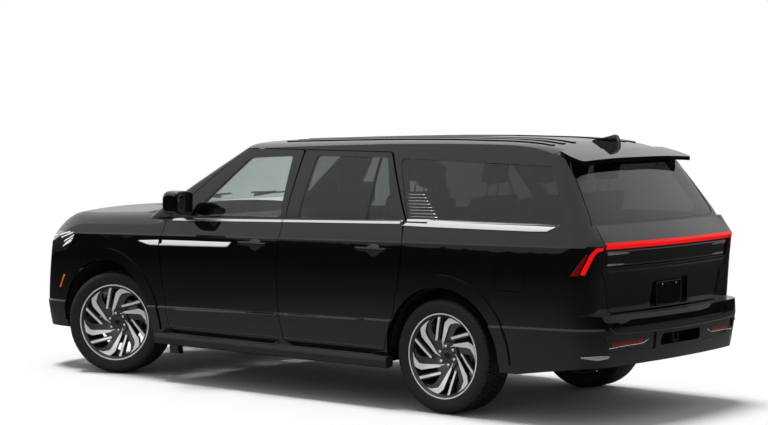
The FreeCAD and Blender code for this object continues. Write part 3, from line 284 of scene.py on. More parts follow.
def build_dust(add, link, start, end):
    """More dust low down, broken by noise."""
    where = add("ShaderNodeTexCoord")
    split = add("ShaderNodeSeparateXYZ")
    link(where.outputs["Object"], split.inputs[0])
    low = add("ShaderNodeMapRange", From_Min=0.75, From_Max=0.25)
    link(split.outputs["Z"], low.inputs["Value"])
    noise = add("ShaderNodeTexNoise", Scale=14.0, Detail=5.0)
    link(where.outputs["Object"], noise.inputs["Vector"])
    broken = combined(add, link, "MULTIPLY", low.outputs[0], noise.outputs["Fac"])
    link(combined(add, link, "MULTIPLY", broken, start.outputs["Amount"]), end.inputs["Mask"])


DUST = group("road_dust", [("Amount", NUMBER, 0.2)], [("Mask", NUMBER)], build_dust)


def build_range(add, link, start, end):
    spread = add("ShaderNodeMapRange")
    link(start.outputs["Mask"], spread.inputs["Value"])
    link(start.outputs["Low"], spread.inputs["To Min"])
    link(start.outputs["High"], spread.inputs["To Max"])
    link(spread.outputs[0], end.inputs["Value"])


BETWEEN = group(
    "between", [("Mask", NUMBER, 0.5), ("Low", NUMBER, 0.0), ("High", NUMBER, 1.0)], [("Value", NUMBER)], build_range
)
print("groups", len(bpy.data.node_groups))

# %% [markdown]
# ## Finishes
# One function makes every finish: an uneven tone, a roughness that varies with the grain, some dust and a fine
# bump. Constants such as the clear coat or the index of refraction are set on the shader's own sockets.

# %% The finish maker
MATERIALS = {}
DUST_TONE = (0.16, 0.15, 0.13)


def use(add, tree, **values):
    node = add("ShaderNodeGroup")
    node.node_tree = tree
    for key, value in values.items():
        node.inputs[key].default_value = value
    return node


def finish(name, dark, light, rough, tone_scale=3.0, grain=500.0, bump=0.02, dust=0.0, **sockets):
    """A finish: its two tones, a grey as one number, its roughness from and to, its grain, and any constants."""
    dark, light = (tone if isinstance(tone, tuple) else (tone,) * 3 for tone in (dark, light))
    made = bpy.data.materials.new(name)
    made.use_nodes = True
    add, link = fresh(made.node_tree)
    shader = add("ShaderNodeBsdfPrincipled", name)
    for key, value in sockets.items():
        shader.inputs[key.replace("_", " ")].default_value = value
    colour = use(add, TONE, Dark=(*dark, 1), Light=(*light, 1), Scale=tone_scale).outputs[0]
    if dust:
        mask = use(add, DUST, Amount=dust).outputs[0]
        colour = mixed(add, link, mask, colour, (*DUST_TONE, 1))
    link(colour, shader.inputs["Base Color"])
    surface = use(add, GRAIN, Scale=grain, Depth=1.0)
    between = use(add, BETWEEN, Low=rough[0], High=rough[1])
    link(surface.outputs["Mask"], between.inputs["Mask"])
    link(between.outputs[0], shader.inputs["Roughness"])
    relief = add("ShaderNodeBump", Strength=bump, Distance=0.001)
    link(surface.outputs["Height"], relief.inputs["Height"])
    link(relief.outputs[0], shader.inputs["Normal"])
    link(shader.outputs[0], add("ShaderNodeOutputMaterial").inputs[0])
    MATERIALS[name] = made
    return made


# %% Body finishes
COAT = {"Coat_Weight": 1.0, "Coat_Roughness": 0.02}
PAINT = finish(
    "gloss_black_paint", 0.0024, 0.0034, (0.34, 0.42), grain=900, bump=0.004, dust=0.05,
    Specular_IOR_Level=0.0, **COAT
)
PIANO = finish("piano_black", 0.002, 0.003, (0.06, 0.10), grain=800, bump=0.004, Specular_IOR_Level=0.35)
PLASTIC = finish(
    "moulded_plastic", 0.004, 0.008, (0.40, 0.58), grain=900, bump=0.2, dust=0.06,
    Specular_IOR_Level=0.35,
)
LINER = finish(
    "arch_liner", 0.004, 0.008, (0.8, 0.95), grain=300, bump=0.5, dust=0.04, Specular_IOR_Level=0.2,
)
UNDERBODY = finish(
    "underbody_black", 0.004, 0.009, (0.55, 0.8), grain=140, bump=0.4, dust=0.08,
    Specular_IOR_Level=0.25,
)
STEEL = finish("cast_steel", (0.05, 0.05, 0.052), 0.10, (0.45, 0.6), grain=400, bump=0.3, Metallic=0.8)
CHROME = finish(
    "satin_bright_trim", 0.66, 0.74, (0.22, 0.30), grain=700, bump=0.01, Metallic=1.0,
)
BRIGHT = finish(
    "polished_trim", (0.80, 0.80, 0.81), (0.86, 0.86, 0.87), (0.10, 0.16), grain=600, bump=0.006, Metallic=1.0,
)
SEAL = finish("rubber_seal", 0.006, 0.010, (0.55, 0.7), grain=500, bump=0.1)
print("body finishes", len(MATERIALS))

# %% Glass
GLASS = {"Transmission_Weight": 1.0, "IOR": 1.45}
CLEAR_GLASS = finish("front_glass_tint", (0.52, 0.575, 0.56), (0.54, 0.595, 0.58), (0.0, 0.0), bump=0.0, **GLASS)
DARK_GLASS = finish("privacy_glass_tint", (0.145, 0.155, 0.152), (0.155, 0.165, 0.162), (0.0, 0.0), bump=0.0, **GLASS)
SCREEN_GLASS = finish("windscreen_tint", (0.74, 0.80, 0.78), (0.76, 0.82, 0.80), (0.0, 0.0), bump=0.0, **GLASS)
SMOKE = finish("smoked_lens", 0.002, 0.003, (0.06, 0.09), bump=0.002, Specular_IOR_Level=0.4)

# %% Wheels and rubber
RUBBER = finish(
    "tyre_rubber", 0.004, 0.008, (0.5, 0.68), tone_scale=20, grain=900, bump=0.12, dust=0.03,
    Specular_IOR_Level=0.28,
)
# The groove rubber is darker and reflects less than the tread rubber: painted shade in the grooves.
SHADED_GROOVE = finish("tyre_groove", 0.0015, 0.003, (0.8, 0.9), grain=900, bump=0.1, Specular_IOR_Level=0.1)
MACHINED = finish(
    "machined_alloy", (0.88, 0.88, 0.89), (0.96, 0.96, 0.97), (0.28, 0.38), grain=1400, bump=0.03, Metallic=0.75,
)
POCKET = finish(
    "wheel_pocket_grey", (0.040, 0.041, 0.043), (0.055, 0.056, 0.058), (0.30, 0.38), grain=900, bump=0.02,
    Metallic=0.6, Coat_Weight=0.5,
)
BARREL = finish(
    "rim_barrel", (0.035, 0.035, 0.037), (0.055, 0.055, 0.058), (0.35, 0.5), grain=500, bump=0.05, Metallic=0.8,
    dust=0.1,
)
BRAKE = finish(
    "brake_iron", (0.16, 0.155, 0.15), (0.30, 0.29, 0.28), (0.30, 0.45), tone_scale=40, grain=900, bump=0.2,
    Metallic=1.0,
)

# %% Lamps
RED_DARK = finish(
    "red_lens_dark", (0.09, 0.001, 0.001), (0.20, 0.002, 0.002), (0.10, 0.16), tone_scale=300, bump=0.02,
    Specular_IOR_Level=0.3,
)
AMBER = finish(
    "amber_lens", (0.75, 0.13, 0.01), (0.95, 0.19, 0.02), (0.12, 0.2), tone_scale=300, bump=0.02, Coat_Weight=1.0,
)
LAMP_BOWL = finish(
    "lamp_bowl", 0.03, 0.07, (0.10, 0.2), tone_scale=120, grain=600, bump=0.05, Metallic=0.8,
    Coat_Weight=1.0,
)
SILVER = finish("lamp_silver", 0.34, 0.60, (0.18, 0.3), tone_scale=260, grain=700, bump=0.1, Metallic=0.9)


def glowing(name, dark, light, strength, scale):
    """A lens lit from behind by a row of small diodes: brighter spots in an even glow."""
    made = finish(name, dark, light, (0.2, 0.3), tone_scale=scale, bump=0.02, Specular_IOR_Level=0.1)
    tree = made.node_tree
    add, link = nodes_of(tree), tree.links.new
    shader = next(n for n in tree.nodes if n.type == "BSDF_PRINCIPLED")
    spots = use(add, TONE, Dark=(*dark, 1), Light=(*light, 1), Scale=scale)
    link(spots.outputs[0], shader.inputs["Emission Color"])
    shader.inputs["Emission Strength"].default_value = strength
    return made


RED_GLOW = glowing("red_diode_bar", (0.34, 0.001, 0.001), (0.56, 0.003, 0.003), 1.0, 160)
WHITE_GLOW = glowing("white_diode_bar", (0.60, 0.63, 0.65), (0.85, 0.87, 0.90), 0.42, 200)
print("finishes", len(MATERIALS))

# %% Cabin finishes
LEATHER = finish(
    "dark_leather", (0.020, 0.017, 0.015), (0.032, 0.027, 0.024), (0.42, 0.58), grain=700, bump=0.35,
    Sheen_Weight=0.15,
)
CARPET = finish("cabin_carpet", 0.012, 0.022, (0.9, 1.0), grain=1500, bump=1.0, Sheen_Weight=0.4)
HEADLINER = finish("headliner_cloth", (0.20, 0.19, 0.18), (0.26, 0.25, 0.23), (0.85, 1.0), grain=1800, bump=0.6)
SOFT_TRIM = finish("soft_trim", 0.016, 0.024, (0.5, 0.65), grain=900, bump=0.3)
DISPLAY = finish("dark_display", 0.003, 0.005, (0.05, 0.08), bump=0.0, Coat_Weight=0.5)
print("all finishes", len(MATERIALS))

# %% [markdown]
# ## Dress the panels
# A painted car is one colour outside and trim inside, and both are the same pressed panel. So each panel keeps its
# shape and its faces are sorted by where they look: faces turned to the cabin take cloth or soft trim.
# Each rule below is a plain test on the middle of a face and the way it looks.

# %% Sort faces into finishes
DRESSED = set()


def dress(name, *finishes, rule=None):
    """Gives a CAD panel its finishes; rule(place, way) returns the number of the finish for one face."""
    mesh = NODES[name].data
    mesh.materials.clear()
    for made in finishes:
        mesh.materials.append(made)
    for face in mesh.polygons:
        face.material_index = rule(face.center, face.normal) if rule else 0
    DRESSED.add(name)


def inward(place, way):
    """1 where a face looks at the middle of the car, away from the outside."""
    return 1 if way.y * place.y < 0 and abs(way.y) > 0.35 else 0


PLAIN_PANELS = {
    "chassis_frame": UNDERBODY, "floor_pan": CARPET, "windscreen": SCREEN_GLASS, "quarter_windows": DARK_GLASS,
    "wheel_liners": LINER, "engine": STEEL, "front_arms": STEEL, "rear_suspension": UNDERBODY, "exhaust": STEEL,
    "dashboard": SOFT_TRIM, "steering_wheel": LEATHER, "cowl": PLASTIC, "tailgate_glass": DARK_GLASS,
    "front_seats": LEATHER, "middle_seats": LEATHER, "rear_bench": LEATHER, "fuel_flap": PAINT,
    "front_glass_left": CLEAR_GLASS, "front_glass_right": CLEAR_GLASS, "rear_glass_left": DARK_GLASS,
    "rear_glass_right": DARK_GLASS, "headlamps": LAMP_BOWL, "grille": PIANO, "front_fenders": PAINT,
    "light_bar": RED_GLOW, "tail_lamps": SMOKE, "running_boards": PLASTIC, "knuckle_left": BRAKE,
    "knuckle_right": BRAKE, "bonnet": PAINT, "front_bumper": PAINT, "rear_bumper": PAINT,
}
for panel, made in PLAIN_PANELS.items():
    dress(panel, made)
dress("body_sides", PAINT, SOFT_TRIM, rule=inward)
dress("roof_panel", PAINT, HEADLINER, rule=lambda place, way: 1 if way.z < -0.4 else 0)
dress("tailgate", PAINT, SOFT_TRIM, rule=lambda place, way: 1 if way.x > 0.45 and place.z < 1.75 else 0)
for side in ("left", "right"):
    for door in ("front_door", "rear_door"):
        dress(f"{door}_{side}", PAINT, SOFT_TRIM, rule=inward)
    for end in ("front", "rear"):
        dress(f"rim_{end}_{side}", MACHINED)
        dress(f"tyre_{end}_{side}", RUBBER)
print("dressed", len(DRESSED), "of", len(NODES))

# %% [markdown]
# ## Finding the skin
# Trim is laid on the finished panel, not floated near it. A body shop holds the strip against the metal; here a ray
# is cast from outside, straight at the panel, and the point it meets is the place for the trim.
# A strip or patch is then a grid of such points, with its own thickness and softened edges.

# %% Casting onto the panels
def skin_of(*names):
    """A search tree over the triangles of these panels."""
    places, faces = [], []
    for name in names:
        mesh = NODES[name].data
        start = len(places)
        places += [vertex.co.copy() for vertex in mesh.vertices]
        faces += [[start + i for i in face.vertices] for face in mesh.polygons]
    return BVHTree.FromPolygons(places, faces)


SIDE_PANELS = [
    "body_sides", "front_fenders", "headlamps", "running_boards", "front_bumper", "rear_bumper", "tail_lamps",
    "quarter_windows",
]
SIDE_SKIN = {}
for side, label in SIDE_NAME.items():
    doors = [f"{part}_{label}" for part in ("front_door", "rear_door", "front_glass", "rear_glass")]
    SIDE_SKIN[side] = skin_of(*SIDE_PANELS, *doors)
BACK_SKIN = skin_of("tailgate", "rear_bumper", "tail_lamps", "light_bar", "tailgate_glass", "body_sides")
FRONT_SKIN = skin_of("grille", "headlamps", "front_bumper", "front_fenders", "bonnet")


BESIDE, BEYOND_ENDS, ABOVE = 1.6, 3.4, 2.4


def cast(skin, start, way, lift=0.0):
    """The first place on a skin that a ray meets, moved back by lift millimetres; None past an edge."""
    place = skin.ray_cast(start, way)[0]
    return place - way * lift / 1000 if place else None


def on_side(x, z, side, lift=0.0):
    """The place on the side of the car at this x and z, in millimetres, and a little outside it."""
    return cast(SIDE_SKIN[side], Vector((x / 1000, side * BESIDE, z / 1000)), Vector((0, -side, 0)), lift)


def on_back(y, z, lift=0.0):
    return cast(BACK_SKIN, Vector((-BEYOND_ENDS, y / 1000, z / 1000)), FORWARD, lift)


LAMP_SKIN = skin_of("tail_lamps")


def on_lamp(x, y, z, lift=0.0):
    """The nearest place on the corner lamp, which wraps round from the side to the back."""
    place, way = LAMP_SKIN.find_nearest(Vector((x, y, z)) / 1000)[:2]
    return place + way * lift / 1000


def on_front(y, z, lift=0.0):
    return cast(FRONT_SKIN, Vector((BEYOND_ENDS, y / 1000, z / 1000)), BACKWARD, lift)


def along(points, t):
    """The point at share t of a line of points, by length."""
    spans = [math.dist(a, b) for a, b in zip(points, points[1:])]
    left = t * sum(spans)
    for a, b, span in zip(points, points[1:], spans):
        if left <= span or b is points[-1]:
            share = left / span if span else 0
            return tuple(u + (v - u) * share for u, v in zip(a, b))
        left -= span


print("skins", len(SIDE_SKIN) + 2)


# %% Making a piece from rows of points
NEW_PIECES = []


def count_up(what):
    """Prints how many pieces were made since the last count."""
    print(what, len(NEW_PIECES))
    NEW_PIECES.clear()


def finished(name, mesh, made, body, smooth=True):
    """Names the piece, gives it its finish and its body."""
    thing = placed(name, mesh)
    mesh.materials.append(made)
    if smooth:
        mesh.shade_smooth()
    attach(thing, body)
    NEW_PIECES.append(name)
    return thing


def mesh_from(name, maker):
    """Turns what was built into a mesh of this name."""
    mesh = bpy.data.meshes.new(name)
    maker.to_mesh(mesh)
    maker.free()
    return mesh


def thickened(thing, thick, edge, sharp=30):
    """Gives a sheet its thickness, inward, and softens the edges that are sharper than this."""
    shell = thing.modifiers.new("thickness", "SOLIDIFY")
    shell.thickness, shell.offset = thick, -1
    if edge:
        soft = thing.modifiers.new("edges", "BEVEL")
        soft.width, soft.segments, soft.limit_method, soft.angle_limit = edge, 2, "ANGLE", math.radians(sharp)
    return thing


def plate_from_rows(name, rows, thick, outward, made, body, edge=0.0012, slot="trim"):
    """A thin plate through rows of places. Its outer face goes through them, and it is thick inward."""
    maker = bmesh.new()
    grid = [[maker.verts.new(place) for place in row] for row in rows]
    for upper, lower in zip(grid, grid[1:]):
        for i in range(len(upper) - 1):
            maker.faces.new((upper[i], upper[i + 1], lower[i + 1], lower[i]))
    bmesh.ops.remove_doubles(maker, verts=maker.verts, dist=0.00005)
    maker.normal_update()
    if sum(face.normal.dot(outward) for face in maker.faces) < 0:
        bmesh.ops.reverse_faces(maker, faces=maker.faces)
    return thickened(finished(name, mesh_from(name, maker), made, body), thick / 1000, edge, 40)


def filled(row):
    """Where a ray met nothing, past an edge, the nearest place that was found stands in."""
    found = [i for i, place in enumerate(row) if place]
    return [row[min(found, key=lambda k: abs(k - i))] for i in range(len(row))]


def strip_between(
    name, upper, lower, place_at, lift, outward, made, body, steps=24, across=3, crown=0.0, tilt=0.0, **more
):
    """A strip between two lines on the skin, both as flat points that place_at turns into places."""
    rows = []
    for k in range(across + 1):
        share = k / across
        row = []
        for i in range(steps + 1):
            a, b = along(upper, i / steps), along(lower, i / steps)
            between = [p + (q - p) * share for p, q in zip(a, b)]
            row.append(place_at(*between, lift + tilt * share + crown * (1 - (2 * share - 1) ** 2)))
        rows.append(filled(row))
    return plate_from_rows(name, rows, lift + 1.5, outward, made, body, **more)


def line_strip(name, line, half, place_at, lift, outward, made, body, steps, across, **more):
    """A strip whose edges lie this far above and below a line of flat points."""
    upper, lower = ([(u, v + way * half) for u, v in line] for way in (1, -1))
    return strip_between(name, upper, lower, place_at, lift, outward, made, body, steps, across, **more)


def on_both_sides(make):
    for side, label in SIDE_NAME.items():
        make(side, label, Vector((0, side, 0)), lambda x, z, lift, side=side: on_side(x, z, side, lift))


print("ready to lay trim")

# %% [markdown]
# ## Side trim
# A bright strip runs along the foot of the windows, one length for each door, with a gap where the doors part.
# On the quarter panel it widens into a blade that ends in a point. Lower down a bare metal arrow crosses from the
# fender to the front door, in two lengths with a plain polished face, and the gap of the door between them.
# Each strip is about 25 mm high and leans out at its foot, so that it catches the sky and not the dark floor.

# %% Belt strip
BELT_FRONT_TOP, BELT_FRONT_X, BELT_RISE = 1262.0, 1174, 0.0312


def belt_top(x):
    return BELT_FRONT_TOP + (BELT_FRONT_X - x) * BELT_RISE


def lay_belt(side, label, outward, place_at):
    runs = [("front", 1152, 42, f"front_door_{label}"), ("rear", 34, -1098, f"rear_door_{label}")]
    for part, start, end, body in runs:
        point = 14 if part == "front" else 0
        upper = [(start, belt_top(start) - point * 0.4), (start - 40, belt_top(start - 40)), (end, belt_top(end))]
        lower = [
            (start + point, belt_top(start) - 24), (start - 40, belt_top(start - 40) - 24),
            (end, belt_top(end) - 25),
        ]
        strip_between(f"belt_strip_{part}_{label}", upper, lower, place_at, 2.0, outward, CHROME, body, 40, tilt=4.0)
    upper = [(-1118, 1342), (-1300, 1347), (-2200, 1354), (-2400, 1350)]
    lower = [(-1092, 1297), (-1300, 1297), (-2200, 1304), (-2330, 1309)]
    strip_between(f"belt_blade_{label}", upper, lower, place_at, 2.0, outward, CHROME, "body", 60, tilt=6.5)


on_both_sides(lay_belt)
count_up("belt strips")


# %% Fender arrow
def lay_arrow(side, label, outward, place_at):
    upper = [(1488, 1074), (1440, 1077), (1268, 1087)]
    lower = [(1486, 1071), (1370, 1043), (1268, 1042)]
    strip_between(f"arrow_fender_{label}", upper, lower, place_at, 2.0, outward, BRIGHT, "body", 24, tilt=7.0)
    upper = [(1256, 1087), (900, 1096), (504, 1105)]
    lower = [(1256, 1043), (900, 1054), (537, 1067)]
    strip_between(
        f"arrow_door_{label}", upper, lower, place_at, 2.0, outward, BRIGHT, f"front_door_{label}", 30, tilt=7.0,
    )


on_both_sides(lay_arrow)
count_up("arrows")


# %% Pale lines in the quarter glass
def lay_louvres(side, label, outward, place_at):
    for i in range(8):
        share = i / 7
        x_front, z = -1056 - share * 60, 1512 - share * 150
        x_rear = -1212 - share * 165
        upper = [(x_front, z), (x_rear, z + 3)]
        lower = [(x_front, z - 4), (x_rear, z - 1)]
        strip_between(f"louvre_{i + 1}_{label}", upper, lower, place_at, 1.2, outward, SILVER, "body", 8, 1, edge=0)


on_both_sides(lay_louvres)
count_up("louvres")

# %% [markdown]
# ## The window bar and the door crease
# A rear door's pane drops only as far as the wheel arch lets it, so a slim upright bar splits off the part that stays.
# Lower down, the pressed doors turn outward in one soft step that catches the sky. The step is a blade of the same
# paint that leans a little more than the panel does and runs out to nothing at both ends.

# %% Window bars and crease blades
CREASE = [(1130, 560), (44, 600), (-4, 602), (-790, 619)]
CREASE_HALF, CREASE_TIP = 9.0, 1.5


def lay_bar_and_crease(side, label, outward, place_at):
    front_edge = [(-695, 1757), (-725, 1326)]
    rear_edge = [(-721, 1757), (-751, 1326)]
    strip_between(
        f"window_bar_{label}", front_edge, rear_edge, place_at, 2.5, outward, PIANO, f"rear_door_{label}", 16, 2,
        crown=1.0,
    )
    for name, start, end, halves in (
        ("front", *CREASE[:2], [(0.0, CREASE_TIP), (0.12, CREASE_HALF), (1.0, CREASE_HALF)]),
        ("rear", *CREASE[2:], [(0.0, CREASE_HALF), (0.88, CREASE_HALF), (1.0, CREASE_TIP)]),
    ):
        line = [(start[0] + (end[0] - start[0]) * t, start[1] + (end[1] - start[1]) * t, half) for t, half in halves]
        upper, lower = ([(x, z + way * half) for x, z, half in line] for way in (1, -1))
        strip_between(
            f"crease_{name}_{label}", upper, lower, place_at, 0.4, outward, PAINT, f"{name}_door_{label}", 40, 3,
            tilt=11.0, slot="paint",
        )


on_both_sides(lay_bar_and_crease)
count_up("window bars and creases")

# %% [markdown]
# ## The plain quarter on the right
# Fuel goes in on the left only, so the right quarter panel runs on unbroken. The CAD panel has the filler's recess on
# both sides, and a sheet of the same paint closes the right one. It follows the panel's own curve from edge to edge.

# %% Close the recess on the right
RECESS_TOP, RECESS_BOTTOM, RECESS_BULGE = 1100, 880, 2.5


def across_recess(x, z, lift=0.0):
    """The place on the right quarter panel as if it had no recess."""
    top, bottom = on_side(x, RECESS_TOP, RIGHT), on_side(x, RECESS_BOTTOM, RIGHT)
    share = (RECESS_TOP - z) / (RECESS_TOP - RECESS_BOTTOM)
    out = (lift + RECESS_BULGE * 4 * share * (1 - share)) / 1000
    return top + (bottom - top) * share + Vector((0, RIGHT * out, 0))


strip_between(
    "quarter_infill", [(-1930, 1094), (-2188, 1094)], [(-1930, 886), (-2188, 886)], across_recess, 0.3,
    LEFTWARD * RIGHT, PAINT, "body", 20, 12, slot="paint",
)
count_up("sheets over a recess")

# %% [markdown]
# ## Lamps at the back
# A light bar crosses the tailgate and meets an angled lamp at each corner. Behind the smoked lens of the corner lamp
# a bright guide runs out, bends and drops, with a darker red band in front of it. The guides are laid on the lens
# itself as slim raised strips, which read as lit tubes under a coat of clear plastic.

# %% Corner lamps
GUIDE_OUTER = [(-2696, 822, 1216), (-2674, 880, 1207), (-2650, 912, 1168), (-2596, 955, 1034)]
GUIDE_INNER = [(-2700, 822, 1192), (-2676, 868, 1180), (-2660, 890, 1144), (-2620, 932, 1028)]
BAND_OUTER = [(-2638, 925, 1176), (-2594, 958, 1110), (-2534, 978, 1022)]
BAND_INNER = [(-2634, 928, 1148), (-2606, 948, 1084), (-2586, 960, 1026)]


def lay_corner_lamps(side, label, outward, place_at):
    for part, outer, inner, made, lift in (
        ("guide", GUIDE_OUTER, GUIDE_INNER, RED_GLOW, 2.0), ("band", BAND_OUTER, BAND_INNER, RED_DARK, 1.2),
    ):
        upper, lower = ([(x, side * y, z) for x, y, z in line] for line in (outer, inner))
        strip_between(f"lamp_{part}_{label}", upper, lower, on_lamp, lift, outward, made, "body", 36, slot="lamp_red")


on_both_sides(lay_corner_lamps)
count_up("guides and bands")


# %% The smoked panel across the tailgate
def back_strip(name, y0, y1, top, low, lift, made, body="tailgate", steps=30, across=2, **more):
    """A strip on the back of the car from y0 to y1; top and low are one height each, or a pair."""
    top = top if isinstance(top, tuple) else (top, top)
    low = low if isinstance(low, tuple) else (low, low)
    upper, lower = [(y0, top[0]), (y1, top[1])], [(y0, low[0]), (y1, low[1])]
    return strip_between(name, upper, lower, on_back, lift, BACKWARD, made, body, steps, across, **more)


back_strip("smoked_panel", 778, -778, 1184, 1072, 1.6, SMOKE, steps=60, across=6, edge=0, slot="dark_glass")
for side, label in SIDE_NAME.items():
    back_strip(f"silver_dots_upper_{label}", side * 764, side * 545, (1174, 1166), (1156, 1157), 3.2, SILVER)
    back_strip(f"silver_dots_lower_{label}", side * 752, side * 575, (1096, 1090), (1081, 1084), 3.2, SILVER)
back_strip("ledge_line", 742, -742, 1046, 1036, 2.0, PIANO, steps=40, crown=1.0)
count_up("pieces across the tailgate")

# %% [markdown]
# ## Plate and bumper
# The plate is blank, dark and thin, in a slim frame with two chrome bolts showing, inside its bay. The bumper has
# a stepped ledge with a line round it, red reflectors with a bright line below, and round parking sensors.

# %% Plate
def rounded_panel(name, centre, wide, high, radius, normal, thick, made, body):
    """A flat plate with rounded corners about a centre, in metres, facing normal."""
    up = normal.cross(LEFTWARD).normalized()
    maker = bmesh.new()
    ring = []
    for cx, cz, start in ((1, 1, 0), (-1, 1, 90), (-1, -1, 180), (1, -1, 270)):
        for k in range(5):
            angle = math.radians(start + k * 22.5)
            u = cx * (wide / 2 - radius) + radius * math.cos(angle)
            v = cz * (high / 2 - radius) + radius * math.sin(angle)
            ring.append(maker.verts.new(centre + LEFTWARD * u + up * v))
    face = maker.faces.new(ring)
    face.normal_update()
    if face.normal.dot(normal) < 0:
        bmesh.ops.reverse_faces(maker, faces=[face])
    thing = finished(name, mesh_from(name, maker), made, body, smooth=False)
    return thickened(thing, thick, min(thick, radius) * 0.3)


PLATE_MIDDLE = Vector((-2.6935, 0.0, 0.858))
rounded_panel("plate_frame", PLATE_MIDDLE, 0.316, 0.164, 0.010, BACKWARD, 0.003, PLASTIC, "tailgate")
rounded_panel("blank_plate", PLATE_MIDDLE + BACKWARD * 0.0022, 0.304, 0.152, 0.008, BACKWARD, 0.002, PIANO, "tailgate")


HEXAGON = 6


def join_rings(maker, rings):
    """Makes the faces between closed rings, from each to the next."""
    count = len(rings[0])
    for a, b in zip(rings, rings[1:]):
        for i in range(count):
            maker.faces.new((a[i], a[(i + 1) % count], b[(i + 1) % count], b[i]))


def dome(name, centre, normal, radius, height, made, body, sides=20):
    """A low turned piece such as a sensor, a bolt head or a cap, standing on a centre and facing normal."""
    turn = normal.to_track_quat("Z", "Y").to_matrix()
    outline = [
        (radius, 0.0), (radius, height * 0.45), (radius * 0.92, height * 0.78), (radius * 0.7, height * 0.93),
        (radius * 0.35, height),
    ]
    maker = bmesh.new()
    grid = []
    for r, h in outline:
        row = []
        for i in range(sides):
            angle = 2 * math.pi * i / sides
            row.append(maker.verts.new(centre + turn @ Vector((r * math.cos(angle), r * math.sin(angle), h))))
        grid.append(row)
    join_rings(maker, grid)
    maker.faces.new(grid[-1])
    maker.faces.new(list(reversed(grid[0])))
    return finished(name, mesh_from(name, maker), made, body, smooth=sides > HEXAGON)


for i, y in enumerate((0.089, -0.089)):
    dome(f"plate_bolt_{i + 1}", PLATE_MIDDLE + Vector((-0.0022, y, 0.0605)), BACKWARD, 0.006, 0.003, BRIGHT, "tailgate")
count_up("plate pieces")


# %% Bumper trim
def outline_strip(name, points, wide, lift, place_at, outward, made, body, **more):
    """A slim strip that follows a line of flat points, wide millimetres from edge to edge."""
    rows = [[], [], []]
    count = max(8, 6 * (len(points) - 1))
    for i in range(count + 1):
        here, ahead = along(points, i / count), along(points, min(1.0, i / count + 0.01))
        back = along(points, max(0.0, i / count - 0.01))
        run = Vector((ahead[0] - back[0], ahead[1] - back[1])).normalized()
        beside = Vector((-run.y, run.x)) * wide / 2
        for row, share in zip(rows, (-1, 0, 1)):
            swell = lift if share else lift + wide * 0.12
            row.append(place_at(here[0] + beside.x * share, here[1] + beside.y * share, swell))
    return plate_from_rows(name, [filled(row) for row in rows], lift + 1.2, outward, made, body, edge=0, **more)


STEP_LINE = [(815, 680), (790, 652), (742, 630), (300, 624), (-300, 624), (-742, 630), (-790, 652), (-815, 680)]
outline_strip("step_line", STEP_LINE, 7, 2.0, on_back, BACKWARD, PIANO, "body")
for side, label in SIDE_NAME.items():
    back_strip(
        f"reflector_{label}", side * 770, side * 452, (575, 580), (548, 556), 3.0, RED_DARK, "body", slot="lamp_red",
    )
    line = [(side * 800, 538), (side * 760, 541), (side * 440, 548), (side * 388, 572)]
    outline_strip(f"reflector_line_{label}", line, 6, 2.0, on_back, BACKWARD, CHROME, "body")
for i, (y, z) in enumerate(((825, 607), (300, 604), (-300, 604), (-825, 607))):
    place = on_back(y, z, 0.0)
    if place:
        dome(f"sensor_back_{i + 1}", place + BACKWARD * -0.001, BACKWARD, 0.012, 0.003, SEAL, "body")


def lay_bumper_sides(side, label, outward, place_at):
    place = on_side(-2553, 517, side)
    dome(f"sensor_side_{label}", place - outward * 0.001, outward, 0.010, 0.003, SEAL, "body")
    upper = [(-2600, 484), (-2700, 492), (-2728, 490)]
    lower = [(-2600, 478), (-2690, 462), (-2720, 470)]
    strip_between(f"skid_glint_{label}", upper, lower, place_at, 1.5, outward, CHROME, "body", 16)
    upper = [(2352, 756), (2376, 756)]
    lower = [(2410, 648), (2434, 648)]
    strip_between(f"amber_marker_{label}", upper, lower, place_at, 2.0, outward, AMBER, "body", 6, 10, slot="lamp_red")


on_both_sides(lay_bumper_sides)
count_up("bumper pieces")

# %% [markdown]
# ## Wheels
# A two-tone wheel is cast, painted dark all over, and then turned on a lathe, which bares the metal only where
# the tool reaches: the foremost faces of the spokes and the lip. The same test finds those faces here. In each ring
# round the axle, the faces that look outward and lie foremost are bare metal and the rest keep the dark paint.
# Over the hub, each wide arm runs on as a slim bare root between two nuts. The cap is plain.

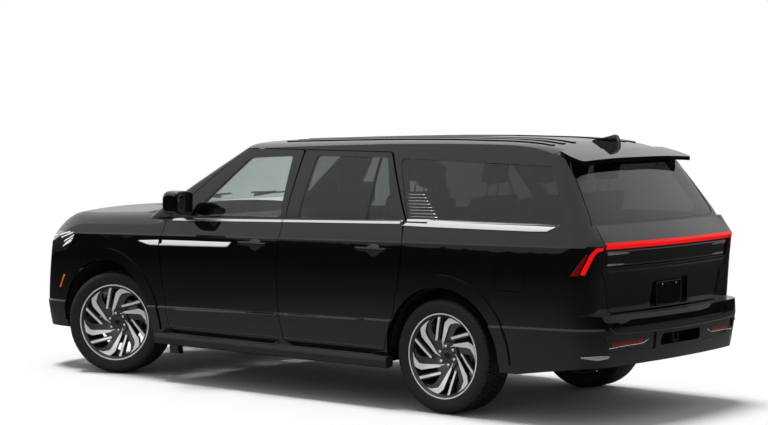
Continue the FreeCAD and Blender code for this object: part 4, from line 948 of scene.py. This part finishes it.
# %% Machined faces and dark pockets
SPINS = {j["child"]: j for j in frame["joints"] if j["name"].startswith("spin_")}
WHEELS = {}
for label, side in (("left", LEFT), ("right", RIGHT)):
    for end in ("front", "rear"):
        joint = SPINS[f"wheel_{end}_{label}"]
        WHEELS[f"{end}_{label}"] = (Vector(joint["pos_m"]), Vector(joint["axis"]).normalized() * side)
LATHE_DEPTH = 0.0065
HUB_EDGE, BARREL_EDGE, LIP_EDGE = 0.0965, 0.262, 0.270
DISC_EDGE, DISC_INNER, DISC_OUTER = 0.180, -0.016, 0.0145
LOOKS_OUT, LOOKS_STRAIGHT_OUT, LOOKS_IN = 0.6, 0.93, 0.5
RING_WIDTH = 0.006
BARE_METAL, DARK_PAINT, BARREL_PAINT, IRON = range(4)
for label, (middle, out) in WHEELS.items():
    mesh = NODES[f"rim_{label}"].data
    mesh.materials.clear()
    for made in (MACHINED, POCKET, BARREL, BRAKE):
        mesh.materials.append(made)
    foremost, faces = {}, []
    for face in mesh.polygons:
        arm = face.center - middle
        depth = arm.dot(out)
        radius = (arm - out * depth).length
        inward_turn = -(face.normal.dot(arm - out * depth)) / max(radius, 1e-6)
        faces.append((face, depth, radius, face.normal.dot(out), inward_turn))
        if face.normal.dot(out) > LOOKS_OUT:
            ring = round(radius / RING_WIDTH)
            foremost[ring] = max(foremost.get(ring, -1), depth)
    for face, depth, radius, facing, inward_turn in faces:
        ring = round(radius / RING_WIDTH)
        front = max(foremost.get(ring + k, -1) for k in (-1, 0, 1))
        if radius < DISC_EDGE and DISC_INNER < depth < DISC_OUTER:
            face.material_index = IRON
        elif radius > LIP_EDGE and facing < LOOKS_STRAIGHT_OUT:
            face.material_index = BARREL_PAINT
        elif facing > LOOKS_OUT and depth > front - LATHE_DEPTH and radius > HUB_EDGE:
            face.material_index = BARE_METAL
        elif radius > BARREL_EDGE and inward_turn > LOOKS_IN:
            face.material_index = BARREL_PAINT
        else:
            face.material_index = DARK_PAINT
print("wheels", {label: [round(v, 3) for v in middle] for label, (middle, out) in WHEELS.items()})

# %% Nuts and a plain centre cap
WHEEL_SKINS = {label: skin_of(f"rim_{label}") for label in WHEELS}


def wheel_hit(label, radius, angle):
    """What a ray along the axle meets on a wheel at this radius, in metres, and angle: its place and face."""
    middle, out = WHEELS[label]
    level = out.cross(UP).normalized()
    start = middle + out * 0.4 + level * radius * math.cos(angle) + UP * radius * math.sin(angle)
    place, _, face, _ = WHEEL_SKINS[label].ray_cast(start, -out)
    return place, face


def on_wheel(label, radius, angle):
    return wheel_hit(label, radius, angle)[0]


STEPS_ROUND, THINNEST_ARM = 720, 3


def bare_arms(label, radius):
    """The angles at the middle of each turned arm that a circle of this radius crosses."""
    faces = NODES[f"rim_{label}"].data.polygons
    bare = []
    for step in range(STEPS_ROUND):
        face = wheel_hit(label, radius, 2 * math.pi * step / STEPS_ROUND)[1]
        bare.append(face is not None and faces[face].material_index == BARE_METAL)
    arms = []
    for edge in (step for step in range(STEPS_ROUND) if bare[step] and not bare[step - 1]):
        width = next(k for k in range(STEPS_ROUND) if not bare[(edge + k) % STEPS_ROUND])
        if width > THINNEST_ARM:
            arms.append(math.radians((edge + width / 2) * 360 / STEPS_ROUND))
    return arms


def arm_root(label, number, start, turn):
    """A turned face that carries one arm on over the hub, in a curve that thins between two nuts."""
    middle, out = WHEELS[label]
    points = []
    for radius, ahead, width in ROOT_STATIONS:
        for half, lift in ((-0.5, -0.0022), (-0.5, 0.0012), (0.5, 0.0012), (0.5, -0.0022)):
            angle = start + turn * math.radians(ahead) + half * width / radius
            points.append(on_wheel(label, radius, angle) + out * lift)
    faces = [(0, 1, 2, 3), tuple(range(len(points) - 1, len(points) - 5, -1))]
    for row in range(len(ROOT_STATIONS) - 1):
        at = row * 4
        faces += [(at + k, at + (k + 1) % 4, at + 4 + (k + 1) % 4, at + 4 + k) for k in range(4)]
    mesh = bpy.data.meshes.new(f"arm_root_{label}_{number}")
    mesh.from_pydata(points, [], faces)
    return finished(mesh.name, mesh, MACHINED, f"wheel_{label}")


NUTS, NUT_CIRCLE, NUT_AHEAD = 6, 0.066, math.radians(22 + 30)
ROOT_STATIONS = [
    (0.101, 0, 0.015), (0.094, 3, 0.013), (0.088, 6, 0.011), (0.080, 11, 0.009), (0.072, 17, 0.007), (0.064, 24, 0.005),
]
SUNK = 0.002
for label, (_, out) in WHEELS.items():
    body = f"wheel_{label}"
    arms, further = bare_arms(label, 0.103), bare_arms(label, 0.112)
    turn = 1 if arms[0] > min(further, key=lambda a: abs(a - arms[0])) else -1
    print(label, "arms at", [round(math.degrees(a)) for a in arms], "turn", turn)
    cap_place = on_wheel(label, 0.002, 0.0) - out * SUNK
    dome(f"centre_cap_{label}", cap_place, out, 0.026, 0.010, PIANO, body, 32)
    dome(f"cap_ring_{label}", cap_place, out, 0.032, 0.005, POCKET, body, 32)
    for i in range(NUTS):
        arm = arms[i % len(arms)]
        arm_root(label, i + 1, arm, turn)
        place = on_wheel(label, NUT_CIRCLE, arm + turn * NUT_AHEAD)
        dome(f"nut_ring_{label}_{i + 1}", place - out * SUNK, out, 0.0150, 0.004, BARREL, body, 18)
        dome(f"nut_{label}_{i + 1}", place, out, 0.0130, 0.018, BRIGHT, body, HEXAGON)
count_up("nuts, nut rings, arm roots and caps")

# %% [markdown]
# ## Tyres
# A tyre is a hoop of rubber whose side bulges a little past the rim, with a rounded shoulder and a flat tread. The
# tread is cut by four grooves round the hoop, and across them by a pattern that repeats, here 64 times. It is made as
# one turned mesh whose radius is smaller where a groove passes. The sidewall carries only plain rings and fine ribs.

# %% One tyre, then four
PITCHES = 64
PITCH_STATIONS = [0.0, 0.03, 0.15, 0.18, 0.50, 0.53, 0.58, 0.61]
TREAD_GROOVES, GROOVE_HALF, GROOVE_DEPTH = [22.0, 68.0], 4.8, 7.5
# Cuts across the tread: offset from and to, share of a pitch from and to, depth, and whether the sides take turns.
TREAD_CUTS = [
    (76, 121, 0.02, 0.16, 5.5, True), (92, 121, 0.52, 0.59, 2.5, True), (27, 63, 0.52, 0.59, 4.5, False),
    (-1, 17, 0.02, 0.16, 2.5, False),
]
TYRE_RADIUS = 405
SIDEWALL = [
    (114, 301.2), (122, 301.8), (128, 303.5), (133, 307), (136.5, 312), (138, 318), (137.6, 321), (138.6, 323),
    (140.5, 332), (142, 342), (142.4, 352), (141.6, 358), (142.2, 360), (141.2, 368), (140, 370), (137.5, 378),
    (133, 386), (127, 392.5),
]
ACROSS = [120, 112, 104, 96, 88, 80, 73.6, 72.6, 63.4, 62.4, 52, 42, 32, 27.6, 26.6, 17.4, 16.4, 8]


def tread_profile():
    """Half of the tyre's outline from bead to middle, as (offset, radius, may be grooved)."""
    half = [(a, r, False) for a, r in SIDEWALL]
    for a in ACROSS:
        radius = TYRE_RADIUS - 4.6 * (a / 120) ** 2 - (3.0 if a == 120 else 0.0) - (0.8 if a == 112 else 0.0)
        half.append((a, radius, True))
    return half + [(0, TYRE_RADIUS, True)] + [(-a, r, cut) for a, r, cut in reversed(half)]


def cut_depth(a, phase):
    """How deep the tread is cut at this offset and share of a pitch, in millimetres."""
    if any(abs(abs(a) - groove) < GROOVE_HALF for groove in TREAD_GROOVES):
        return GROOVE_DEPTH
    for near, far, start, end, depth, in_turn in TREAD_CUTS:
        shifted = (phase + (0.25 if in_turn and a < 0 else 0.0)) % 1.0
        if near < abs(a) < far and start < shifted < end:
            return depth
    return 0.0


def tyre_mesh():
    """The tyre about the Y axis with its middle at the origin."""
    profile = tread_profile()
    maker = bmesh.new()
    rows = []
    for pitch in range(PITCHES):
        for phase in PITCH_STATIONS:
            angle = 2 * math.pi * (pitch + phase) / PITCHES
            row = []
            for a, r, cut in profile:
                r = r - (cut_depth(a, phase) if cut else 0.0)
                if not cut and 386 <= r <= 393 and 0.02 < phase < 0.16:
                    r -= 2.2
                if 321.5 < r < 333 and not cut and phase in (0.03, 0.15, 0.53, 0.58):
                    a -= math.copysign(0.5, a)
                row.append(maker.verts.new((r * math.cos(angle) / 1000, a / 1000, r * math.sin(angle) / 1000)))
            rows.append(row)
    for upper, lower in zip(rows, rows[1:] + rows[:1]):
        for i in range(len(profile) - 1):
            face = maker.faces.new((upper[i], upper[i + 1], lower[i + 1], lower[i]))
            low = max(
                math.hypot(corner.co.x, corner.co.z) * 1000 - profile[i + k][1]
                for k, corner in enumerate(upper[i:i + 2])
            )
            # Faces sunk below the tread's outline take the groove finish, whose darker tone is painted shade.
            face.material_index = 1 if profile[i][2] and low < -1.0 else 0
    mesh = mesh_from("tyre", maker)
    mesh.shade_smooth()
    return mesh


rubber = tyre_mesh()
rubber.materials.append(RUBBER)
rubber.materials.append(SHADED_GROOVE)
for label, (middle, out) in WHEELS.items():
    tyre = placed(f"treaded_tyre_{label}", rubber)
    turn = math.atan2(-out.x, out.y)
    tyre.matrix_world = Matrix.Translation(middle) @ Matrix.Rotation(turn, 4, "Z")
    crisp = tyre.modifiers.new("crisp edges", "EDGE_SPLIT")
    crisp.split_angle = math.radians(38)
    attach(tyre, f"wheel_{label}")
    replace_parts(tyre, f"tyre_{label}")
print("tyres", len(WHEELS), "of faces", len(rubber.polygons))

# %% [markdown]
# ## Handles, mirrors and headlamps
# A pull handle is a bar that stands off the door over a scooped cup, so that fingers fit behind it. The bar is
# drawn through a row of oval loops that shrink to the ends. The cup is not scooped here: a flat dark matt oval on
# the skin behind the bar is painted shade in place of the recess.

# %% Handles
def loft(name, loops, made, body):
    """A closed skin through rings of places, capped at both ends."""
    maker = bmesh.new()
    grid = [[maker.verts.new(place) for place in ring] for ring in loops]
    join_rings(maker, grid)
    maker.faces.new(list(reversed(grid[0])))
    maker.faces.new(grid[-1])
    bmesh.ops.recalc_face_normals(maker, faces=maker.faces)
    return finished(name, mesh_from(name, maker), made, body)


def oval(centre, u, v, half_u, half_v, count=14, power=1.0):
    """A ring about a centre; u and v are directions."""
    ring = []
    for i in range(count):
        angle = 2 * math.pi * i / count
        c, s = math.cos(angle), math.sin(angle)
        c = math.copysign(abs(c) ** power, c)
        s = math.copysign(abs(s) ** power, s)
        ring.append(centre + u * half_u * c + v * half_v * s)
    return ring


HANDLES = {"front_door": (404, 120, 1106), "rear_door": (-736, -1020, 1122)}
HANDLE_OUT = 1.0475


def lay_handles(side, label, outward, place_at):
    for door, (front, rear, z) in HANDLES.items():
        loops = []
        for k in range(17):
            share = k / 16
            bulge = math.sin(math.pi * share) ** 0.35 if 0 < share < 1 else 0.0
            x = (front + (rear - front) * share) / 1000
            centre = Vector((x, side * (HANDLE_OUT + 0.004 * bulge), z / 1000))
            loops.append(oval(centre, UP, outward, 0.004 + 0.0125 * bulge, 0.003 + 0.0075 * bulge, power=0.8))
        loft(f"{door}_grip_{label}", loops, PAINT, f"{door}_{label}")
        middle, half_x, half_z = (front + rear) / 2, 62, 40
        arc = [(middle + half_x * math.cos(a), math.sin(a)) for a in [math.pi * k / 16 for k in range(17)]]
        upper = [(x, z - 2 + half_z * s) for x, s in arc]
        lower = [(x, z - 2 - half_z * s * 1.25) for x, s in arc]
        # The cup is a flat, dark, matt oval on the door skin: painted shade in place of a scooped recess.
        strip_between(
            f"{door}_cup_{label}", upper, lower, place_at, 0.5, outward, SEAL, f"{door}_{label}", 16, 6, edge=0,
        )


on_both_sides(lay_handles)
count_up("grips and cups")


# %% Mirror glass
def lay_mirrors(side, label, outward, place_at):
    tree_of_door = skin_of(f"front_door_{label}")
    rows = []
    for k in range(9):
        z = MIRROR_FOOT + 17.5 * k
        share = k / 8
        half = MIRROR_HALF * (1 - abs(2 * share - 1.0) ** 2.6 * 0.32)
        row = []
        for i in range(9):
            y = MIRROR_MIDDLE + 6 * share + half * (2 * i / 8 - 1)
            start = Vector((BEHIND_MIRROR, side * y / 1000, z / 1000))
            place = cast(tree_of_door, start, FORWARD, 2.5)
            row.append(place or (row[-1] if row else Vector((MIRROR_X, *start.yz))))
        rows.append(row)
    plate_from_rows(f"mirror_glass_{label}", rows, 3.0, BACKWARD, MIRROR, f"front_door_{label}", edge=0)


MIRROR = finish("mirror_silver", 0.14, 0.16, (0.02, 0.03), bump=0.0, Metallic=1.0)
BEHIND_MIRROR, MIRROR_X = 0.4, 0.92
MIRROR_FOOT, MIRROR_MIDDLE, MIRROR_HALF = 1312, 1110, 47
on_both_sides(lay_mirrors)
count_up("mirror glasses")

# %% [markdown]
# ## Headlamps
# Behind the clear cover sit slanted light guides that sweep back over the fender. They are laid as slim lit strips
# in front of a dark metal bowl, which is how they read from the side. Bars in the grille and a bright frame
# finish the front, which the picture doesn't show, so they follow the usual pattern of such cars in a plain form.

# %% Headlamp guides
LAMP_GUIDES = [
    [(2262, 1098), (2402, 1052)], [(2300, 1103), (2428, 1071)], [(2246, 1079), (2368, 1022)],
    [(2256, 1056), (2356, 1003)], [(2272, 1034), (2380, 984)],
]


def lay_headlamps(side, label, outward, place_at):
    for i, line in enumerate(LAMP_GUIDES):
        line_strip(
            f"headlamp_guide_{i + 1}_{label}", line, 5, place_at, 1.5, outward, WHITE_GLOW, "body", 14, 2,
            slot="lamp_clear",
        )


on_both_sides(lay_headlamps)
HEADLAMP_BARS, TOP_BAR_Z, BAR_PITCH = 4, 1062, 34
for side, label in SIDE_NAME.items():
    for i in range(HEADLAMP_BARS):
        z = TOP_BAR_Z - BAR_PITCH * i
        line_strip(
            f"headlamp_bar_{i + 1}_{label}", [(side * 700, z), (side * 930, z)], 5, on_front, 1.5, FORWARD, WHITE_GLOW,
            "body", 20, 2, slot="lamp_clear",
        )
GRILLE_EDGE = [
    (-600, 1066), (600, 1066), (640, 1030), (600, 668), (560, 648), (-560, 648), (-600, 668), (-640, 1030),
    (-600, 1066),
]
outline_strip("grille_frame", GRILLE_EDGE, 16, 3.0, on_front, FORWARD, CHROME, "body")
count_up("headlamp pieces and grille frame")

# %% [markdown]
# ## Seats
# A seat is foam in a sewn leather cover. The foam pushes the cover out until the seams hold it, so the panels
# crown and the sides pull in between the corners. Each shape starts as a slightly small rounded block, is blown
# up as cloth for twenty steps, and then gets its sewn channels, which follow the panels of the cover.

# %% One cushion, one back and one head restraint
def padded_mesh(name, size, crown, cuts=13):
    """A rounded, crowned block of this size in metres, about the origin, its top toward +Z."""
    power = 7.0
    maker = bmesh.new()
    bmesh.ops.create_cube(maker, size=2.0)
    bmesh.ops.subdivide_edges(maker, edges=maker.edges, cuts=cuts, use_grid_fill=True)
    for vertex in maker.verts:
        u, v, w = vertex.co
        norm = (abs(u) ** power + abs(v) ** power + abs(w) ** power) ** (1 / power)
        u, v, w = u / norm, v / norm, w / norm
        rise = crown * max(0.0, 1 - u * u) * max(0.0, 1 - v * v) * (1 if w > 0 else -0.3) * abs(w)
        pull = 1 - 0.03 * (1 - v * v) * abs(u) ** 4, 1 - 0.03 * (1 - u * u) * abs(v) ** 4
        vertex.co = (u * size[0] / 2 * pull[0], v * size[1] / 2 * pull[1], w * size[2] / 2 + rise)
    return mesh_from(name, maker)


CLOTH_STEPS, COVER_MESH = 20, 0.0095


def puffed(mesh, cap):
    """Blows the cover up as cloth for twenty steps; no point moves more than cap metres."""
    thing = placed("cover", mesh)
    fine = thing.modifiers.new("even mesh", "REMESH")
    fine.mode, fine.voxel_size = "VOXEL", COVER_MESH
    even = bpy.data.meshes.new_from_object(thing.evaluated_get(bpy.context.evaluated_depsgraph_get()))
    thing.modifiers.remove(fine)
    thing.data = even
    cloth = thing.modifiers.new("cover", "CLOTH")
    cloth.settings.use_pressure = True
    cloth.settings.uniform_pressure_force = 4.0
    cloth.settings.effector_weights.gravity = 0.0
    cloth.settings.quality = 4
    cloth.point_cache.frame_start, cloth.point_cache.frame_end = 1, CLOTH_STEPS
    for step in range(1, CLOTH_STEPS + 1):
        scene.frame_set(step)
    blown = thing.evaluated_get(bpy.context.evaluated_depsgraph_get()).to_mesh()
    for vertex, after in zip(even.vertices, blown.vertices):
        move = after.co - vertex.co
        vertex.co += move * min(1.0, cap / max(move.length, 1e-9))
    bpy.data.objects.remove(thing)
    scene.frame_set(1)
    return even


def sewn(mesh, lines, depth, width, size):
    """Presses channels into the top of a cover; each line is (axis, place, from, to) in metres."""
    for vertex in mesh.vertices:
        if vertex.co.z < size[2] * 0.1:
            continue
        press = 0.0
        for axis, place, start, end in lines:
            other = 1 - axis
            if start <= vertex.co[other] <= end:
                press = max(press, math.exp(-((vertex.co[axis] - place) / width) ** 2))
        vertex.co.z -= depth * press
    mesh.shade_smooth()
    return mesh


CUSHION_SIZE, BACK_SIZE, HEAD_SIZE = (0.500, 0.490, 0.130), (0.600, 0.480, 0.105), (0.165, 0.255, 0.085)


def channels(half, places):
    """Two sewn lines along a cover and one across it at each of these places."""
    return [(1, y, -half, half) for y in (-0.150, 0.150)] + [(0, x, -0.15, 0.15) for x in places]


def leather_cover(name, size, crown, cap, lines, depth, width, cuts=13):
    cover = sewn(puffed(padded_mesh(name, size, crown, cuts), cap), lines, depth, width, size)
    cover.materials.clear()
    cover.materials.append(LEATHER)
    return cover


CUSHION_LINES, BACK_LINES = channels(0.24, (-0.13, -0.02, 0.09)), channels(0.28, (-0.16, -0.04, 0.08, 0.20))
cushion_cover = leather_cover("cushion", CUSHION_SIZE, 0.014, 0.012, CUSHION_LINES, 0.007, 0.006)
back_cover = leather_cover("seat_back", BACK_SIZE, 0.012, 0.012, BACK_LINES, 0.007, 0.006)
head_cover = leather_cover("head_restraint", HEAD_SIZE, 0.010, 0.008, [(0, 0.0, -0.12, 0.12)], 0.003, 0.005, 9)
print("cover points", len(cushion_cover.vertices), len(back_cover.vertices), len(head_cover.vertices))


# %% Place the seats
LEAN = math.radians(11.5)
COVER_WIDTH, BACK_PANEL_HIGH = 0.52, 0.60


def soft_piece(name, cover, centre, turn, scale, node):
    piece = placed(name, cover)
    piece.matrix_world = Matrix.Translation(centre) @ turn @ Matrix.Diagonal((*scale, 1))
    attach(piece, "body")
    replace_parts(piece, node)
    NEW_PIECES.append(name)


def seat_shell(name, x, y, floor, h, wide, node):
    """The moulded shell: a base that narrows upward and a hard back panel behind the foam."""
    loops = []
    for z, front, rear, inset in (
        (floor, 0.30, -0.12, 0.06), (floor + 0.03, 0.31, -0.125, 0.05), (h - 0.17, 0.33, -0.13, 0.035),
        (h - 0.145, 0.34, -0.14, 0.02),
    ):
        middle = Vector((x + (front + rear) / 2, y, z))
        loops.append(oval(middle, FORWARD, LEFTWARD, (front - rear) / 2, wide / 2 - inset, 24, 0.5))
    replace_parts(loft(f"{name}_base", loops, PLASTIC, "body"), node)
    loops = []
    for share, thin, inset in ((0, 0.012, 0.05), (0.06, 0.022, 0.03), (0.5, 0.022, 0.03), (0.94, 0.022, 0.03),
                               (1.0, 0.012, 0.05)):
        rise = BACK_PANEL_HIGH * share
        middle = Vector((x - 0.185 - math.tan(LEAN) * rise, y, h - 0.10 + rise))
        loops.append(oval(middle, FORWARD, LEFTWARD, thin, wide / 2 - inset, 24, 0.35))
    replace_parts(loft(f"{name}_back_panel", loops, PLASTIC, "body"), node)


def build_seat(name, x, y, h, wide, node):
    """One padded place: cushion, back and head restraint with its two posts, over a cushion top at height h."""
    scale = (1, wide / COVER_WIDTH, 1)
    soft_piece(
        f"{name}_cushion", cushion_cover, Vector((x + 0.125, y, h - 0.068)),
        Matrix.Rotation(math.radians(-3), 4, "Y"), scale, node,
    )
    stand = Matrix.Rotation(-LEAN, 4, "Y") @ Matrix.Rotation(math.pi / 2, 4, "Y") @ Matrix.Rotation(math.pi, 4, "Z")
    soft_piece(f"{name}_back", back_cover, Vector((x - 0.168, y, h + 0.205)), stand, scale, node)
    soft_piece(f"{name}_head", head_cover, Vector((x - 0.268, y, h + 0.668)), stand, (1, 1, 1), node)
    for i, dy in enumerate((-0.07, 0.07)):
        low, high = Vector((x - 0.225, y + dy, h + 0.47)), Vector((x - 0.258, y + dy, h + 0.63))
        rings = [oval(low.lerp(high, t), FORWARD, LEFTWARD, 0.006, 0.006, 12) for t in (0, 0.5, 1)]
        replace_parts(loft(f"{name}_post_{i + 1}", rings, CHROME, "body"), node)


FRONT_SEAT_X, MIDDLE_SEAT_X, BENCH_X = 0.150, -0.650, -1.640
CABIN_FLOOR, BENCH_FLOOR = 0.622, 0.767
SEAT_HIGH, BENCH_HIGH = CABIN_FLOOR + 0.33, BENCH_FLOOR + 0.25
SEAT_ASIDE, BENCH_PITCH = 0.390, 0.4065
SEAT_WIDTH, BENCH_SEAT_WIDTH, BENCH_WIDTH = 0.52, 0.402, 1.21
for side, label in SIDE_NAME.items():
    for row, x, node in (("front", FRONT_SEAT_X, "front_seats"), ("middle", MIDDLE_SEAT_X, "middle_seats")):
        name, y = f"{row}_seat_{label}", side * SEAT_ASIDE
        build_seat(name, x, y, SEAT_HIGH, SEAT_WIDTH, node)
        seat_shell(name, x, y, CABIN_FLOOR, SEAT_HIGH, SEAT_WIDTH, node)
for i, label in enumerate(("right", "middle", "left")):
    build_seat(f"bench_{label}", BENCH_X, (i - 1) * BENCH_PITCH, BENCH_HIGH, BENCH_SEAT_WIDTH, "rear_bench")
seat_shell("bench", BENCH_X, 0.0, BENCH_FLOOR, BENCH_HIGH, BENCH_WIDTH, "rear_bench")
count_up("seat pieces")

# %% [markdown]
# ## Small fittings
# The rest is what a fitter adds last: slim bars across the grille, wipers parked at the foot of the windscreen,
# grip ribs on the side steps, and dark displays on the dashboard. Each is laid on its carrier as the trim is.

# %% Fittings
TOP_SKIN = skin_of("windscreen", "cowl", "bonnet", "roof_panel", "body_sides", "running_boards")
DASH_SKIN = skin_of("dashboard")
BEHIND_DASH = 0.3


def on_top(x, y, lift=0.0):
    return cast(TOP_SKIN, Vector((x / 1000, y / 1000, ABOVE)), -UP, lift)


def on_dash(y, z, lift=0.0):
    return cast(DASH_SKIN, Vector((BEHIND_DASH, y / 1000, z / 1000)), FORWARD, lift)


GRILLE_TOP, GRILLE_FOOT, BAR_SETBACK = 1066, 655, 22


def in_grille(y, z, lift=0.0):
    """The place of a bar: between the frame's upper and lower edge, set back a little."""
    share = (z - GRILLE_FOOT) / (GRILLE_TOP - GRILLE_FOOT)
    x = on_front(y * 0.97, GRILLE_FOOT).x * (1 - share) + on_front(y * 0.97, GRILLE_TOP).x * share
    return Vector((x + (lift - BAR_SETBACK) / 1000, y / 1000, z / 1000))


for i in range(6):
    z = 1005 - 55 * i
    line_strip(
        f"grille_bar_{i + 1}", [(-575, z), (575, z)], 6, in_grille, 4.0, FORWARD, POCKET, "body", 60, 2, crown=2.0,
    )
for side, label in SIDE_NAME.items():
    outline_strip(
        f"wiper_blade_{label}", [(1290, side * 640), (1335, side * 420), (1345, side * 120)], 14, 7.0, on_top, UP,
        SEAL, "body",
    )
    outline_strip(
        f"wiper_arm_{label}", [(1388, side * 200), (1372, side * 280), (1336, side * 400)], 20, 14.0, on_top, UP,
        PLASTIC, "body",
    )
    for i in range(5):
        y = 945 + 22 * i
        line_strip(
            f"step_rib_{i + 1}_{label}", [(1180, side * y), (-940, side * y)], side * 5, on_top, 2.5, UP, SEAL, "body",
            20, 2, crown=1.0,
        )
    line_strip(
        f"step_edge_{label}", [(1236, 424), (-1000, 424)], 4, lambda x, z, lift, side=side: on_side(x, z, side, lift),
        1.2, LEFTWARD * side, POCKET, "body", 40, 2,
    )
for name, y0, y1, top, low in (("driver_display", 535, 250, 1192, 1126), ("middle_display", 150, -150, 1186, 1020)):
    strip_between(name, [(y0, top), (y1, top)], [(y0, low), (y1, low)], on_dash, 3.0, BACKWARD, DISPLAY, "body", 16, 8)
count_up("fittings")
